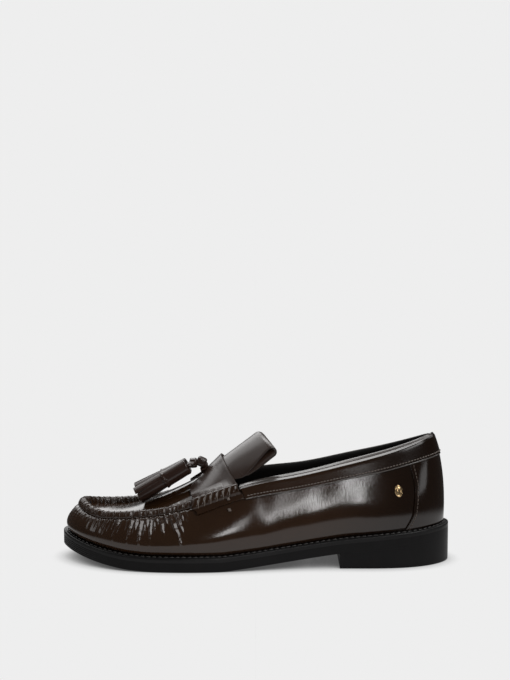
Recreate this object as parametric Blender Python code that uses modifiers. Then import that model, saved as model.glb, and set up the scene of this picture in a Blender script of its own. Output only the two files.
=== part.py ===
"""Tassel loafer for the left foot, as an assembly of the pieces that a shoemaker puts together.

Metres, +Z up, standing on the floor at z = 0. The toe points to -X and the outer (lateral) side faces -Y.
The origin is the middle of the sole's outline, on the floor.
"""

import math

import bmesh
import bpy
import numpy as np
from mathutils import Matrix, Vector

# Driving dimensions of the shoe
LENGTH = 0.268
BALL_WIDTH = 0.091
BACK_HEIGHT = 0.0885
INSTEP_RISE = 0.0155
TOE_SPRING = 0.0098
HEEL_HEIGHT = 0.0101
SEAT_HEIGHT = 0.0169
BREAST_X = 0.0575

# Thicknesses and clearances
OUTSOLE_THICKNESS = 0.0068
WELT_THICKNESS = 0.0029
WALL = 0.0018
STRAP_THICKNESS = 0.0014
BAND_THICKNESS = 0.0011
COUNTER_THICKNESS = 0.0010
TONGUE_THICKNESS = 0.0020
INSOLE_THICKNESS = 0.0056

# Edges of the sole: share of the height, and how far the edge stands in there
OUTSOLE_EDGE = ((0.0, 0.0010), (0.12, 0.0001), (0.50, 0.0), (0.94, 0.0), (1.0, 0.0003))
WELT_EDGE = ((0.0, 0.0003), (0.14, 0.0), (0.80, 0.0), (1.0, 0.0005))
INSOLE_EDGE = ((0.0, 0.0), (1.0, 0.0))

GAP = 0.0003
OVERLAY_GAP = 0.0004

# How far the upper stands inside the sole's edge at the welt, and at mid height in shares of the whole lean, which
# grows from the toe (sections back from it) to the quarters
FOOT_INSET = 0.0045
MID_SHARES = ((0.0, 0.40), (4.5, 0.40), (6.5, 0.50), (11.0, 0.50))
PROFILE_HEIGHTS = (0.0, 0.2, 0.6, 1.0)
WELT_WIDTH = 0.0070

# One row for each upright section, from the heel's back along the outer side to the toe and back along the
# inner side. edge is the sole's outline and rim the top of the wall, which is the collar behind the throat and
# the moccasin seam in front of it. belly is how far the wall stands inside the edge where it is widest, in metres.
# x is in shares of half the length, y of half the ball width, z of the back height.
SECTION_COLUMNS = ("edge_x", "edge_y", "rim_x", "rim_y", "rim_z", "belly")
SECTIONS = (
    (1.000, -0.044, 0.912, -0.044, 1.000, 0.0042),
    (0.890, -0.527, 0.835, -0.341, 0.973, 0.0036),
    (0.677, -0.725, 0.647, -0.484, 0.893, 0.0027),
    (0.429, -0.736, 0.436, -0.538, 0.816, 0.0023),
    (0.188, -0.791, 0.211, -0.560, 0.737, 0.0023),
    (-0.038, -0.901, -0.015, -0.604, 0.675, 0.0023),
    (-0.241, -0.989, -0.226, -0.615, 0.574, 0.0023),
    (-0.451, -0.993, -0.436, -0.615, 0.475, 0.0023),
    (-0.662, -0.890, -0.632, -0.615, 0.438, 0.0023),
    (-0.827, -0.648, -0.774, -0.495, 0.426, 0.0023),
    (-0.947, -0.308, -0.858, -0.231, 0.449, 0.0023),
    (-1.000, 0.088, -0.891, 0.066, 0.468, 0.0023),
    (-0.959, 0.462, -0.868, 0.352, 0.445, 0.0023),
    (-0.842, 0.769, -0.792, 0.560, 0.419, 0.0023),
    (-0.677, 0.949, -0.647, 0.659, 0.416, 0.0023),
    (-0.474, 1.000, -0.451, 0.681, 0.463, 0.0023),
    (-0.263, 0.934, -0.241, 0.659, 0.571, 0.0023),
    (-0.038, 0.769, -0.023, 0.615, 0.672, 0.0023),
    (0.188, 0.648, 0.211, 0.538, 0.720, 0.0023),
    (0.429, 0.626, 0.436, 0.473, 0.792, 0.0023),
    (0.677, 0.637, 0.647, 0.407, 0.864, 0.0027),
    (0.890, 0.440, 0.835, 0.250, 0.948, 0.0036),
)
SECTION_COUNT = len(SECTIONS)
TOE_SECTION = SECTION_COUNT // 2
STEPS_PER_SECTION = 4
SOLE_STEPS = 4

# Height of the sole's underside above the floor: x in shares of half the length, and metres
UNDERSIDE = (
    (-1.00, TOE_SPRING),
    (-0.86, 0.0052),
    (-0.75, 0.0026),
    (-0.64, 0.0008),
    (-0.50, 0.0),
    (-0.19, 0.0),
    (-0.08, 0.0012),
    (0.13, 0.0046),
    (0.33, 0.0083),
    (BREAST_X / (LENGTH / 2), HEEL_HEIGHT),
    (0.70, 0.0136),
    (1.00, SEAT_HEIGHT),
)

# Apron between the two moccasin seams: sections back from the toe, share of the instep rise, lean to the toe
APRON_COLUMNS = ("back", "rise", "lean")
APRON = (
    (0.0, 0.00, 0.0),
    (1.0, -0.05, 0.0),
    (2.0, 0.02, 0.0),
    (3.0, 0.14, 0.0005),
    (4.0, 0.40, 0.0025),
    (5.0, 0.66, 0.0058),
    (5.5, 0.97, 0.0088),
    (5.7, 0.98, 0.0108),
)
ARCH_POWER = 0.85
APRON_ACROSS = 10
THROAT_BACK = 5.5

# Moccasin seam: a roll of leather along the rim. below is measured down the wall from the rim and out from it
ROLL_COLUMNS = ("below", "out")
ROLL = ((0.0050, -0.0002), (0.0026, 0.0010), (0.0004, 0.0007))
ROLL_INNER_IN = (0.0014, 0.0025)
ROLL_INNER_DOWN = (0.0002, 0.0018)
ROLL_FADE = (5.35, 5.75)
PLAIN_BELOW = (0.0050, 0.0026, 0.0012, 0.0005, 0.0)
WALL_HEIGHTS = (0.0, 0.07, 0.18, 0.32, 0.48, 0.63, 0.76)

# Saddle strap over the instep: sections back from the toe of its front and rear edges, by place across
STRAP_FRONT = ((0.0, 4.72), (0.14, 4.56), (0.34, 4.62), (0.5, 5.14), (0.66, 4.62), (0.86, 4.56), (1.0, 4.72))
STRAP_REAR = ((0.0, 5.84), (0.14, 5.70), (0.22, 5.65), (0.78, 5.65), (0.86, 5.70), (1.0, 5.84))
STRAP_DROP = 0.0104
STRAP_ALONG = 5

# Collar band, which starts behind the strap and slants with it, and heel counter
BAND_DROPS = ((0.0, 0.0145), (3.0, 0.0126), (5.3, 0.0112))
BAND_FRONT_BACK = 5.68
BAND_FRONT_SLANT = 0.19
COUNTER_FRONT = ((0.0, 0.1020), (0.25, 0.1074), (0.6, 0.1086), (1.0, 0.1052))
COUNTER_LOW = 0.012

# Tongue: a doubled leather tab, arched across and folded at its top. The fold slants back towards the outer side,
# where the arch stays deep, and the back leaf closes in on the front one.
TONGUE_HALF_WIDTH = 0.0215
TONGUE_BASE = (-0.0234, 0.0691)
TONGUE_TOP = (0.0008, 0.0872)
TONGUE_ARCH = 0.0128
TONGUE_TOP_OUTER_ARCH = 0.0104
TONGUE_TOP_INNER_ARCH = 0.0090
TONGUE_SLANT = 0.13
TONGUE_FOLD_RADIUS = 0.0030
TONGUE_BACK_LENGTH = 0.020
TONGUE_BACK_DEPTH = 0.0028
TONGUE_ACROSS = 10
FOLD_STEPS = 6

# Tassels and the knotted lace that holds them
TASSEL_CAP_RADIUS = 0.0056
TASSEL_SKIRT_RADIUS = 0.0066
TASSEL_CAP_LENGTH = 0.0185
TASSEL_LENGTH = 0.0395
TASSEL_STRIPS = 10
STRIP_SHARE = 0.84
STRIP_DEPTH = 0.0011
STRIP_STAGGER = 0.0007
TASSEL_COLUMNS = ("name", "top_x", "top_y", "top_z", "slope", "splay")
TASSELS = (
    ("tassel_outer", -0.0470, -0.0072, 0.0660, 31.0, 2.0),
    ("tassel_inner", -0.0470, 0.0072, 0.0640, 28.2, -1.4),
)
LACE_RADIUS = 0.0016
KNOT_LOBES = ((-0.0430, 0.0, 0.0668), (-0.0374, 0.0, 0.0676))
LOBE_RADIUS = 0.0035
LOBE_FLATTENING = 0.86
LACE_END = (-0.0392, 0.0, 0.0614)

# Plain oval stud on the outer quarter
STUD_X = 0.0972
STUD_HEIGHT = 0.50
STUD_SIZE = (0.0052, 0.0084)
STUD_THICKNESS = 0.0009

# Colours, roughness and metallic value of each material
FINISHES = {
    "upper_leather": ((0.024, 0.014, 0.011), 0.18, 0.0),
    "sole_rubber": ((0.018, 0.017, 0.017), 0.45, 0.0),
    "lining": ((0.012, 0.011, 0.011), 0.60, 0.0),
    "stud_metal": ((0.62, 0.45, 0.25), 0.30, 1.0),
}


def periodic_spline(values):
    """Second derivatives of the closed cubic spline through one value at each whole number."""
    count = len(values)
    matrix = np.zeros((count, count))
    right = np.zeros(count)
    for i in range(count):
        before, after = (i - 1) % count, (i + 1) % count
        matrix[i, before] = matrix[i, after] = 1 / 6
        matrix[i, i] = 4 / 6
        right[i] = values[before] - 2 * values[i] + values[after]
    return np.linalg.solve(matrix, right)


class Loop:
    """Smooth closed columns of SECTIONS, read at any place around the shoe."""

    def __init__(self):
        table = np.array(SECTIONS)
        edge_y = table[:, 1]
        self.columns = {name: table[:, i] for i, name in enumerate(SECTION_COLUMNS)}
        self.curves = {name: periodic_spline(column) for name, column in self.columns.items()}
        around = np.linspace(0, SECTION_COUNT, 40 * SECTION_COUNT, endpoint=False)
        edge_x = np.array([self.value("edge_x", a) for a in around])
        edge_y = np.array([self.value("edge_y", a) for a in around])
        self.x_middle = (edge_x.max() + edge_x.min()) / 2
        self.y_middle = (edge_y.max() + edge_y.min()) / 2
        self.x_scale = LENGTH / (edge_x.max() - edge_x.min())
        self.y_scale = BALL_WIDTH / (edge_y.max() - edge_y.min())

    def value(self, name, around):
        column, curve = self.columns[name], self.curves[name]
        first = math.floor(around)
        share = around - first
        i, j = first % SECTION_COUNT, (first + 1) % SECTION_COUNT
        rest = 1 - share
        return (
            rest * column[i]
            + share * column[j]
            + ((rest**3 - rest) * curve[i] + (share**3 - share) * curve[j]) / 6
        )

    def edge(self, around):
        """The sole's outline, in plan."""
        x = (self.value("edge_x", around) - self.x_middle) * self.x_scale
        y = (self.value("edge_y", around) - self.y_middle) * self.y_scale
        return Vector((x, y))

    def rim(self, around):
        """The top of the wall."""
        x = (self.value("rim_x", around) - self.x_middle) * self.x_scale
        y = (self.value("rim_y", around) - self.y_middle) * self.y_scale
        return Vector((x, y, self.value("rim_z", around) * BACK_HEIGHT))


def smooth(rows, x, column=1):
    """Monotone cubic through a column of rows whose first column rises."""
    xs = [row[0] for row in rows]
    ys = [row[column] for row in rows]
    x = min(max(x, xs[0]), xs[-1])
    steps = [xs[i + 1] - xs[i] for i in range(len(xs) - 1)]
    slopes = [(ys[i + 1] - ys[i]) / steps[i] for i in range(len(steps))]
    tangents = [slopes[0]]
    for before, after in zip(slopes, slopes[1:]):
        level = before * after <= 0
        tangents.append(0.0 if level else 2 * before * after / (before + after))
    tangents.append(slopes[-1])
    i = max(k for k in range(len(steps)) if xs[k] <= x)
    t = (x - xs[i]) / steps[i]
    return (
        ys[i] * (1 + 2 * t) * (1 - t) ** 2
        + ys[i + 1] * t * t * (3 - 2 * t)
        + steps[i] * (tangents[i] * t * (1 - t) ** 2 - tangents[i + 1] * t * t * (1 - t))
    )


def fade(low, high, value):
    """1 up to low, 0 from high, smooth between."""
    t = min(max((value - low) / (high - low), 0.0), 1.0)
    return 1 - t * t * (3 - 2 * t)


LOOP = Loop()


def underside(x):
    """Height of the outsole's underside."""
    return smooth(UNDERSIDE, x / (LENGTH / 2))


def outsole_top(x):
    return underside(x) + OUTSOLE_THICKNESS


def welt_top(x):
    return outsole_top(x) + GAP + WELT_THICKNESS


def inset_edge(around, distance):
    """The sole's outline moved inwards, square to itself."""
    step = 0.02
    along = LOOP.edge(around + step) - LOOP.edge(around - step)
    inward = Vector((along.y, -along.x)).normalized()
    return LOOP.edge(around) + inward * distance


def back_of(around):
    """Sections back from the toe, on either side."""
    return abs((around % SECTION_COUNT) - TOE_SECTION)


def profile_inset(width, belly, middle, height):
    """How far inside the sole's edge the wall stands, at a share of its height."""
    insets = (FOOT_INSET, belly, middle, width)
    total = 0.0
    for i, inset in enumerate(insets):
        weight = 1.0
        for j, other in enumerate(PROFILE_HEIGHTS):
            if j != i:
                weight *= (height - other) / (PROFILE_HEIGHTS[i] - other)
        total += weight * inset
    return total


class Section:
    """One upright section of the wall, in the plane that holds the sole's edge and the rim."""

    def __init__(self, around):
        self.edge = LOOP.edge(around)
        self.rim = LOOP.rim(around)
        across = Vector((self.rim.x, self.rim.y)) - self.edge
        self.width = across.length
        self.belly = LOOP.value("belly", around)
        self.middle = max(smooth(MID_SHARES, back_of(around)) * self.width, self.belly)
        self.inward = across.normalized()
        self.foot = welt_top((self.edge + self.inward * FOOT_INSET).x) + GAP
        self.height = self.rim.z - self.foot
        self.moccasin = fade(*ROLL_FADE, back_of(around))

    def at(self, inset, z):
        plan = self.edge + self.inward * inset
        return Vector((plan.x, plan.y, z))

    def wall(self, share):
        """A point of the outer face, at a share of the wall's height."""
        inset = profile_inset(self.width, self.belly, self.middle, share)
        return self.at(inset, self.foot + share * self.height)

    def below_rim(self, distance, out=0.0):
        """A point of the outer face that far down from the rim, moved out square to the wall."""
        share = 1 - distance / self.height
        low, high = self.wall(share - 0.02), self.wall(share + 0.02)
        rise = high - low
        run = rise.x * self.inward.x + rise.y * self.inward.y
        normal = Vector((-self.inward.x * rise.z, -self.inward.y * rise.z, run)).normalized()
        return self.wall(share) + normal * out

    def roll(self):
        """The last five points of the wall: the moccasin seam's roll, or the plain collar."""
        rolled = [self.below_rim(below, out) for below, out in ROLL]
        for inward, down in zip(ROLL_INNER_IN, ROLL_INNER_DOWN):
            rolled.append(self.at(self.width + inward, self.rim.z - down))
        plain = [self.below_rim(below) for below in PLAIN_BELOW]
        return [p.lerp(r, self.moccasin) for p, r in zip(plain, rolled)]

    def column(self):
        return [self.wall(share) for share in WALL_HEIGHTS] + self.roll()


def apron_point(back, across):
    """A point of the apron, from the outer seam (0) to the inner one (1)."""
    outer = Section(TOE_SECTION - back).roll()[-1]
    inner = Section(TOE_SECTION + back).roll()[-1]
    arch = max(1 - (2 * across - 1) ** 2, 0.0) ** ARCH_POWER
    rise = smooth(APRON, back, 1) * INSTEP_RISE
    lean = smooth(APRON, back, 2)
    return outer.lerp(inner, across) + Vector((-lean, 0.0, rise)) * arch


def material(name):
    color, roughness, metallic = FINISHES[name]
    made = bpy.data.materials.get(name)
    if made is None:
        made = bpy.data.materials.new(name)
        made.use_nodes = True
        shader = made.node_tree.nodes["Principled BSDF"]
        shader.inputs["Base Color"].default_value = (*color, 1.0)
        shader.inputs["Roughness"].default_value = roughness
        shader.inputs["Metallic"].default_value = metallic
    return made


def add_object(name, mesh, finish, collection):
    mesh.materials.append(material(finish))
    obj = bpy.data.objects.new(name, mesh)
    collection.objects.link(obj)
    mesh.shade_smooth()
    return obj


def mesh_from(shape, name):
    bmesh.ops.recalc_face_normals(shape, faces=shape.faces)
    mesh = bpy.data.meshes.new(name)
    shape.to_mesh(mesh)
    shape.free()
    return mesh


def grid_shape(rows, closed_rows=False):
    """A sheet of quads through rows of points. With closed_rows each row is a ring."""
    shape = bmesh.new()
    placed = [[shape.verts.new(point) for point in row] for row in rows]
    for low, high in zip(placed, placed[1:]):
        count = len(low)
        for i in range(count if closed_rows else count - 1):
            j = (i + 1) % count
            shape.faces.new((low[i], low[j], high[j], high[i]))
    return shape, placed


def face_outwards(mesh, inside):
    """Turns an open sheet so that its faces point away from a point inside the shoe."""
    away = 0.0
    for polygon in mesh.polygons:
        away += polygon.normal.dot(polygon.center - inside) * polygon.area
    if away < 0:
        mesh.flip_normals()


def thicken(obj, thickness, offset, lift=0.0):
    """Gives a sheet its thickness: offset -1 is inwards and 1 outwards. lift first moves it out."""
    if lift:
        raised = obj.modifiers.new("clearance", "DISPLACE")
        raised.strength = lift
        raised.mid_level = 0.0
    wall = obj.modifiers.new("thickness", "SOLIDIFY")
    wall.thickness = thickness
    wall.offset = offset
    wall.use_even_offset = True
    wall.use_quality_normals = True


INSIDE = Vector((0.0, 0.0, 0.035))


def make_upper(collection):
    """One wall from the welt to the collar and the seam, with the apron closing its front."""
    count = SECTION_COUNT * STEPS_PER_SECTION
    columns = [Section(i / STEPS_PER_SECTION).column() for i in range(count)]
    shape, placed = grid_shape(columns + [columns[0]])
    bmesh.ops.remove_doubles(shape, verts=shape.verts[:], dist=1e-7)
    shape.verts.ensure_lookup_table()
    by_place = {tuple(round(c, 7) for c in vert.co): vert for vert in shape.verts}

    def seam_vert(index):
        return by_place[tuple(round(c, 7) for c in Vector(columns[index % count][-1]))]

    toe = TOE_SECTION * STEPS_PER_SECTION
    steps = [i / STEPS_PER_SECTION for i in range(1, int(THROAT_BACK * STEPS_PER_SECTION) + 1)]
    last = [seam_vert(toe)]
    for i, back in enumerate(steps, start=1):
        row = [seam_vert(toe - i)]
        for j in range(1, APRON_ACROSS):
            row.append(shape.verts.new(apron_point(back, j / APRON_ACROSS)))
        row.append(seam_vert(toe + i))
        if len(last) == 1:
            for a, b in zip(row, row[1:]):
                shape.faces.new((last[0], a, b))
        else:
            for a, b, c, d in zip(last, last[1:], row[1:], row):
                shape.faces.new((a, b, c, d))
        last = row
    mesh = mesh_from(shape, "upper")
    face_outwards(mesh, INSIDE)
    upper = add_object("upper", mesh, "upper_leather", collection)
    thicken(upper, WALL, -1)
    return upper


def strap_path(back):
    """Points across the shoe from the strap's outer end, over both rolls and the apron, to its inner end."""
    outer, inner = Section(TOE_SECTION - back), Section(TOE_SECTION + back)
    apron = [apron_point(back, j / APRON_ACROSS) for j in range(2, APRON_ACROSS - 1)]
    ends = []
    for section in (outer, inner):
        over = [section.below_rim(below, out) for below, out in ROLL[1:]]
        plain = [section.below_rim(STRAP_DROP), section.below_rim((STRAP_DROP + ROLL[1][0]) / 2)]
        ends.append(plain + over)
    return ends[0] + apron + ends[1][::-1]


def make_strap(collection):
    """The saddle strap, lying on the upper from wall to wall."""
    count = len(strap_path(THROAT_BACK))
    rows = []
    for i in range(count):
        share = i / (count - 1)
        front, rear = smooth(STRAP_FRONT, share), smooth(STRAP_REAR, share)
        row = []
        for j in range(STRAP_ALONG + 1):
            back = front + (rear - front) * j / STRAP_ALONG
            row.append(strap_path(back)[i])
        rows.append(row)
    shape, _ = grid_shape(rows)
    mesh = mesh_from(shape, "saddle_strap")
    face_outwards(mesh, INSIDE)
    strap = add_object("saddle_strap", mesh, "upper_leather", collection)
    thicken(strap, STRAP_THICKNESS, 1, OVERLAY_GAP)
    return strap


def make_collar_band(collection):
    """The band sewn along the collar, from throat to throat round the heel."""
    steps = math.ceil((TOE_SECTION - BAND_FRONT_BACK) * STEPS_PER_SECTION)
    rows = []
    for i in range(-steps, steps + 1):
        row = []
        for share in (1.0, 0.66, 0.33, 0.03):
            around = (TOE_SECTION - BAND_FRONT_BACK - BAND_FRONT_SLANT * share) * i / steps
            row.append(Section(around).below_rim(smooth(BAND_DROPS, abs(around)) * share))
        rows.append(row)
    shape, _ = grid_shape(rows)
    mesh = mesh_from(shape, "collar_band")
    face_outwards(mesh, INSIDE)
    band = add_object("collar_band", mesh, "upper_leather", collection)
    thicken(band, BAND_THICKNESS, 1, OVERLAY_GAP)
    return band


def around_at_x(x, height, side):
    """The place around the heel where the wall has that x, on the outer (1) or inner (-1) side."""
    low, high = 0.0, 5.0
    for _ in range(40):
        middle = (low + high) / 2
        if Section(side * middle).wall(height).x > x:
            low = middle
        else:
            high = middle
    return side * low


def make_heel_counter(collection):
    """The back panel over the heel, under the collar band."""
    heights, across = 6, 14
    rows = []
    for i in range(heights + 1):
        share = i / heights
        front = smooth(COUNTER_FRONT, share)
        outer, inner = around_at_x(front, share * 0.75, 1), around_at_x(front, share * 0.75, -1)
        row = []
        for j in range(across + 1):
            around = inner + (outer - inner) * j / across
            section = Section(around)
            top = 1 - (smooth(BAND_DROPS, abs(around)) + OVERLAY_GAP) / section.height
            row.append(section.wall(COUNTER_LOW + (top - COUNTER_LOW) * share))
        rows.append(row)
    shape, _ = grid_shape(rows)
    mesh = mesh_from(shape, "heel_counter")
    face_outwards(mesh, INSIDE)
    counter = add_object("heel_counter", mesh, "upper_leather", collection)
    thicken(counter, COUNTER_THICKNESS, 1, OVERLAY_GAP)
    return counter


def make_tongue(collection):
    """The doubled tongue: one sheet that rises from under the strap, folds over and goes back down."""
    base, top = Vector((TONGUE_BASE[0], 0, TONGUE_BASE[1])), Vector((TONGUE_TOP[0], 0, TONGUE_TOP[1]))
    along = (top - base).normalized()
    under = Vector((along.z, 0, -along.x))
    path = [(base.lerp(top, i / 4), i / 4) for i in range(5)]
    centre = top + under * TONGUE_FOLD_RADIUS
    for i in range(1, FOLD_STEPS + 1):
        turn = math.pi * i / FOLD_STEPS
        round_fold = along * math.sin(turn) - under * math.cos(turn)
        path.append((centre + round_fold * TONGUE_FOLD_RADIUS, 1.0))
    end = path[-1][0]
    back_end = end - along * TONGUE_BACK_LENGTH - under * (2 * TONGUE_FOLD_RADIUS - TONGUE_BACK_DEPTH)
    path += [(end.lerp(back_end, i / 3), 1.0) for i in range(1, 4)]
    rows = []
    for point, raised in path:
        row = []
        for j in range(TONGUE_ACROSS + 1):
            across = 2 * j / TONGUE_ACROSS - 1
            top_arch = TONGUE_TOP_OUTER_ARCH if across < 0 else TONGUE_TOP_INNER_ARCH
            drop = (TONGUE_ARCH + (top_arch - TONGUE_ARCH) * raised) * abs(across) ** 2.2
            y = across * TONGUE_HALF_WIDTH
            row.append(point + under * drop - along * TONGUE_SLANT * raised * y + Vector((0, y, 0)))
        rows.append(row)
    shape, _ = grid_shape(rows)
    tongue = add_object("tongue", mesh_from(shape, "tongue"), "upper_leather", collection)
    thicken(tongue, TONGUE_THICKNESS, 0)
    return tongue


def edge_rings(low, high, distance, edge):
    """Rings round the shoe between two heights, on the sole's edge moved inwards, one for each row of edge."""
    rings = []
    for share, step in edge:
        ring = []
        for around in ring_places():
            plan = inset_edge(around, distance + step)
            bottom = low(plan.x)
            ring.append(Vector((plan.x, plan.y, bottom + share * (high(plan.x) - bottom))))
        rings.append(ring)
    return rings


def slab(name, finish, collection, low, high, distance, edge):
    """A solid between two heights, whose outline is the sole's edge moved inwards."""
    shape, placed = grid_shape(edge_rings(low, high, distance, edge), closed_rows=True)
    for ring in (placed[0], placed[-1]):
        close_in_strips(shape, ring)
    return add_object(name, mesh_from(shape, name), finish, collection)


def close_in_strips(shape, ring):
    """Closes a ring that starts at the heel, with strips across the shoe."""
    count = len(ring)
    shape.faces.new((ring[0], ring[1], ring[-1]))
    for i in range(1, count // 2 - 1):
        shape.faces.new((ring[i], ring[i + 1], ring[count - i - 1], ring[count - i]))
    middle = count // 2
    shape.faces.new((ring[middle - 1], ring[middle], ring[middle + 1]))


def ring_places():
    return [i / SOLE_STEPS for i in range(SECTION_COUNT * SOLE_STEPS)]


def welt_base(x):
    return outsole_top(x) + GAP


def insole_top(x):
    return welt_base(x) + INSOLE_THICKNESS


def make_sole(collection):
    """Outsole, welt and insole, stacked."""
    slab("outsole", "sole_rubber", collection, underside, outsole_top, 0.0, OUTSOLE_EDGE)
    slab("insole", "lining", collection, welt_base, insole_top, WELT_WIDTH + GAP, INSOLE_EDGE)
    outer = edge_rings(welt_base, welt_top, 0.0, WELT_EDGE)
    inner = edge_rings(welt_base, welt_top, WELT_WIDTH, ((1.0, 0.0), (0.0, 0.0)))
    shape, _ = grid_shape(outer + inner + outer[:1], closed_rows=True)
    bmesh.ops.remove_doubles(shape, verts=shape.verts[:], dist=1e-7)
    add_object("welt", mesh_from(shape, "welt"), "sole_rubber", collection)


def make_heel(collection):
    """The heel block under the outsole, flat at the breast and flared a little towards the floor."""
    outer, inner = around_edge_at(BREAST_X, 1), around_edge_at(BREAST_X, -1)
    count = 24
    places = [inner + (outer - inner) * i / count for i in range(count + 1)]
    rings = []
    for level, distance in ((0.0, 0.0), (0.5, 0.0005), (1.0, 0.0008)):
        ring = []
        for around in places:
            plan = inset_edge(around, distance)
            plan.x = max(plan.x, BREAST_X)
            ring.append(Vector((plan.x, plan.y, level * (underside(plan.x) - GAP))))
        rings.append(ring)
    shape, placed = grid_shape(rings, closed_rows=True)
    for ring in (placed[0], placed[-1]):
        half = len(ring) // 2
        for i in range(half - 1):
            shape.faces.new((ring[i], ring[i + 1], ring[-i - 2], ring[-i - 1]))
        shape.faces.new((ring[half - 1], ring[half], ring[half + 1]))
    add_object("heel", mesh_from(shape, "heel"), "sole_rubber", collection)


def around_edge_at(x, side):
    """The place around the heel where the sole's edge has that x."""
    low, high = 0.0, 5.0
    for _ in range(40):
        middle = (low + high) / 2
        if LOOP.edge(side * middle).x > x:
            low = middle
        else:
            high = middle
    return side * low


def tassel_ring(radius, depth, height, stagger):
    """One ring of a tassel: flat strips with narrow grooves between them."""
    ring = []
    for strip in range(TASSEL_STRIPS):
        width = 2 * math.pi / TASSEL_STRIPS
        middle = strip * width
        drop = stagger * math.sin(2.3 * strip)
        for share, r in ((-STRIP_SHARE, radius), (STRIP_SHARE, radius), (1.0, radius - depth)):
            angle = middle + share * width / 2
            ring.append(Vector((r * math.cos(angle), r * math.sin(angle), height - drop)))
    return ring


def tassel_tilt(slope, splay):
    """Turns a tassel that hangs along -Z to lie on the vamp, its end to the toe."""
    turn = Matrix.Rotation(math.radians(splay), 4, "Z")
    return turn @ Matrix.Rotation(math.radians(90 - slope), 4, "Y")


def make_tassel(name, top, tilt, collection):
    """A cap over a skirt of cut strips, hanging along the local -Z."""
    end = -TASSEL_LENGTH
    rows = [
        tassel_ring(TASSEL_CAP_RADIUS * 0.45, 0.0, 0.0, 0.0),
        tassel_ring(TASSEL_CAP_RADIUS * 0.93, 0.0, -0.0008, 0.0),
        tassel_ring(TASSEL_CAP_RADIUS, 0.0, -0.0030, 0.0),
        tassel_ring(TASSEL_CAP_RADIUS, 0.0, -TASSEL_CAP_LENGTH, 0.0),
        tassel_ring(TASSEL_SKIRT_RADIUS * 0.95, STRIP_DEPTH, -TASSEL_CAP_LENGTH - 0.0004, 0.0),
        tassel_ring(TASSEL_SKIRT_RADIUS, STRIP_DEPTH, end, STRIP_STAGGER),
    ]
    shape, placed = grid_shape(rows, closed_rows=True)
    for ring, height in ((placed[0], 0.0), (placed[-1], end)):
        centre = shape.verts.new((0, 0, height))
        for i in range(len(ring)):
            shape.faces.new((ring[i], ring[(i + 1) % len(ring)], centre))
    tassel = add_object(name, mesh_from(shape, name), "upper_leather", collection)
    tassel.matrix_world = Matrix.Translation(top) @ tilt
    return tassel


def tube(points, radius):
    """A closed round tube along points, as a mesh object."""
    curve = bpy.data.curves.new("lace", "CURVE")
    curve.dimensions = "3D"
    curve.bevel_depth = radius
    curve.bevel_resolution = 2
    curve.use_fill_caps = True
    spline = curve.splines.new("POLY")
    spline.points.add(len(points) - 1)
    for point, place in zip(spline.points, points):
        point.co = (*place, 1.0)
    guide = bpy.data.objects.new("lace_guide", curve)
    bpy.context.scene.collection.objects.link(guide)
    bpy.context.view_layer.update()
    evaluated = guide.evaluated_get(bpy.context.evaluated_depsgraph_get())
    mesh = bpy.data.meshes.new_from_object(evaluated)
    bpy.data.objects.remove(guide)
    shape = bmesh.new()
    shape.from_mesh(mesh)
    bmesh.ops.remove_doubles(shape, verts=shape.verts[:], dist=1e-6)
    bmesh.ops.recalc_face_normals(shape, faces=shape.faces)
    shape.to_mesh(mesh)
    shape.free()
    return mesh


def make_knot(collection, cutters):
    """The knotted lace: two lobes, an arm to each tassel and a tail that enters the vamp."""
    pieces = []
    for index, place in enumerate(KNOT_LOBES):
        bpy.ops.mesh.primitive_uv_sphere_add(
            segments=16,
            ring_count=10,
            radius=LOBE_RADIUS,
            location=place,
            rotation=(0.0, math.radians(80 + 20 * index), 0.0),
            scale=(1.0, 1.0, LOBE_FLATTENING),
        )
        wrap = bpy.context.object
        for owner in list(wrap.users_collection):
            owner.objects.unlink(wrap)
        pieces.append(wrap)
    first, second = Vector(KNOT_LOBES[0]), Vector(KNOT_LOBES[1])
    routes = [[first, first.lerp(second, 0.5), second, second.lerp(Vector(LACE_END), 0.5), Vector(LACE_END)]]
    for _, x, y, z, slope, splay in TASSELS:
        direction = tassel_tilt(slope, splay).to_3x3() @ Vector((0, 0, 1))
        seat = Vector((x, y, z)) + direction * GAP
        routes.append([seat, seat + direction * 0.0016, first.lerp(seat, 0.35), first])
    for route in routes:
        pieces.append(bpy.data.objects.new("lace", tube(route, LACE_RADIUS)))
    knot = pieces[0]
    knot.name = "tassel_knot"
    knot.data.materials.append(material("upper_leather"))
    collection.objects.link(knot)
    for piece in pieces[1:]:
        cutters.objects.link(piece)
        piece.hide_render = True
        piece.display_type = "WIRE"
        join = knot.modifiers.new("join", "BOOLEAN")
        join.operation = "UNION"
        join.object = piece
    return knot


def make_stud(collection):
    """A plain oval stud on the outer quarter."""
    around = around_at_x(STUD_X, STUD_HEIGHT, 1)
    section = Section(around)
    middle = section.wall(STUD_HEIGHT)
    ahead = (Section(around + 0.1).wall(STUD_HEIGHT) - middle).normalized()
    upward = (section.wall(STUD_HEIGHT + 0.05) - middle).normalized()
    outward = ahead.cross(upward).normalized()
    if outward.y > 0:
        outward = -outward
    shape = bmesh.new()
    turn = Matrix((ahead, upward, outward)).transposed().to_4x4()
    bmesh.ops.create_cone(
        shape, cap_ends=True, segments=20, radius1=0.5, radius2=0.44, depth=1.0,
        matrix=Matrix.Diagonal((*STUD_SIZE, STUD_THICKNESS, 1.0)),
    )
    lift = OVERLAY_GAP + 0.0003 + STUD_THICKNESS / 2
    bmesh.ops.transform(shape, matrix=Matrix.Translation(middle + outward * lift) @ turn, verts=shape.verts)
    add_object("side_stud", mesh_from(shape, "side_stud"), "stud_metal", collection)


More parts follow.
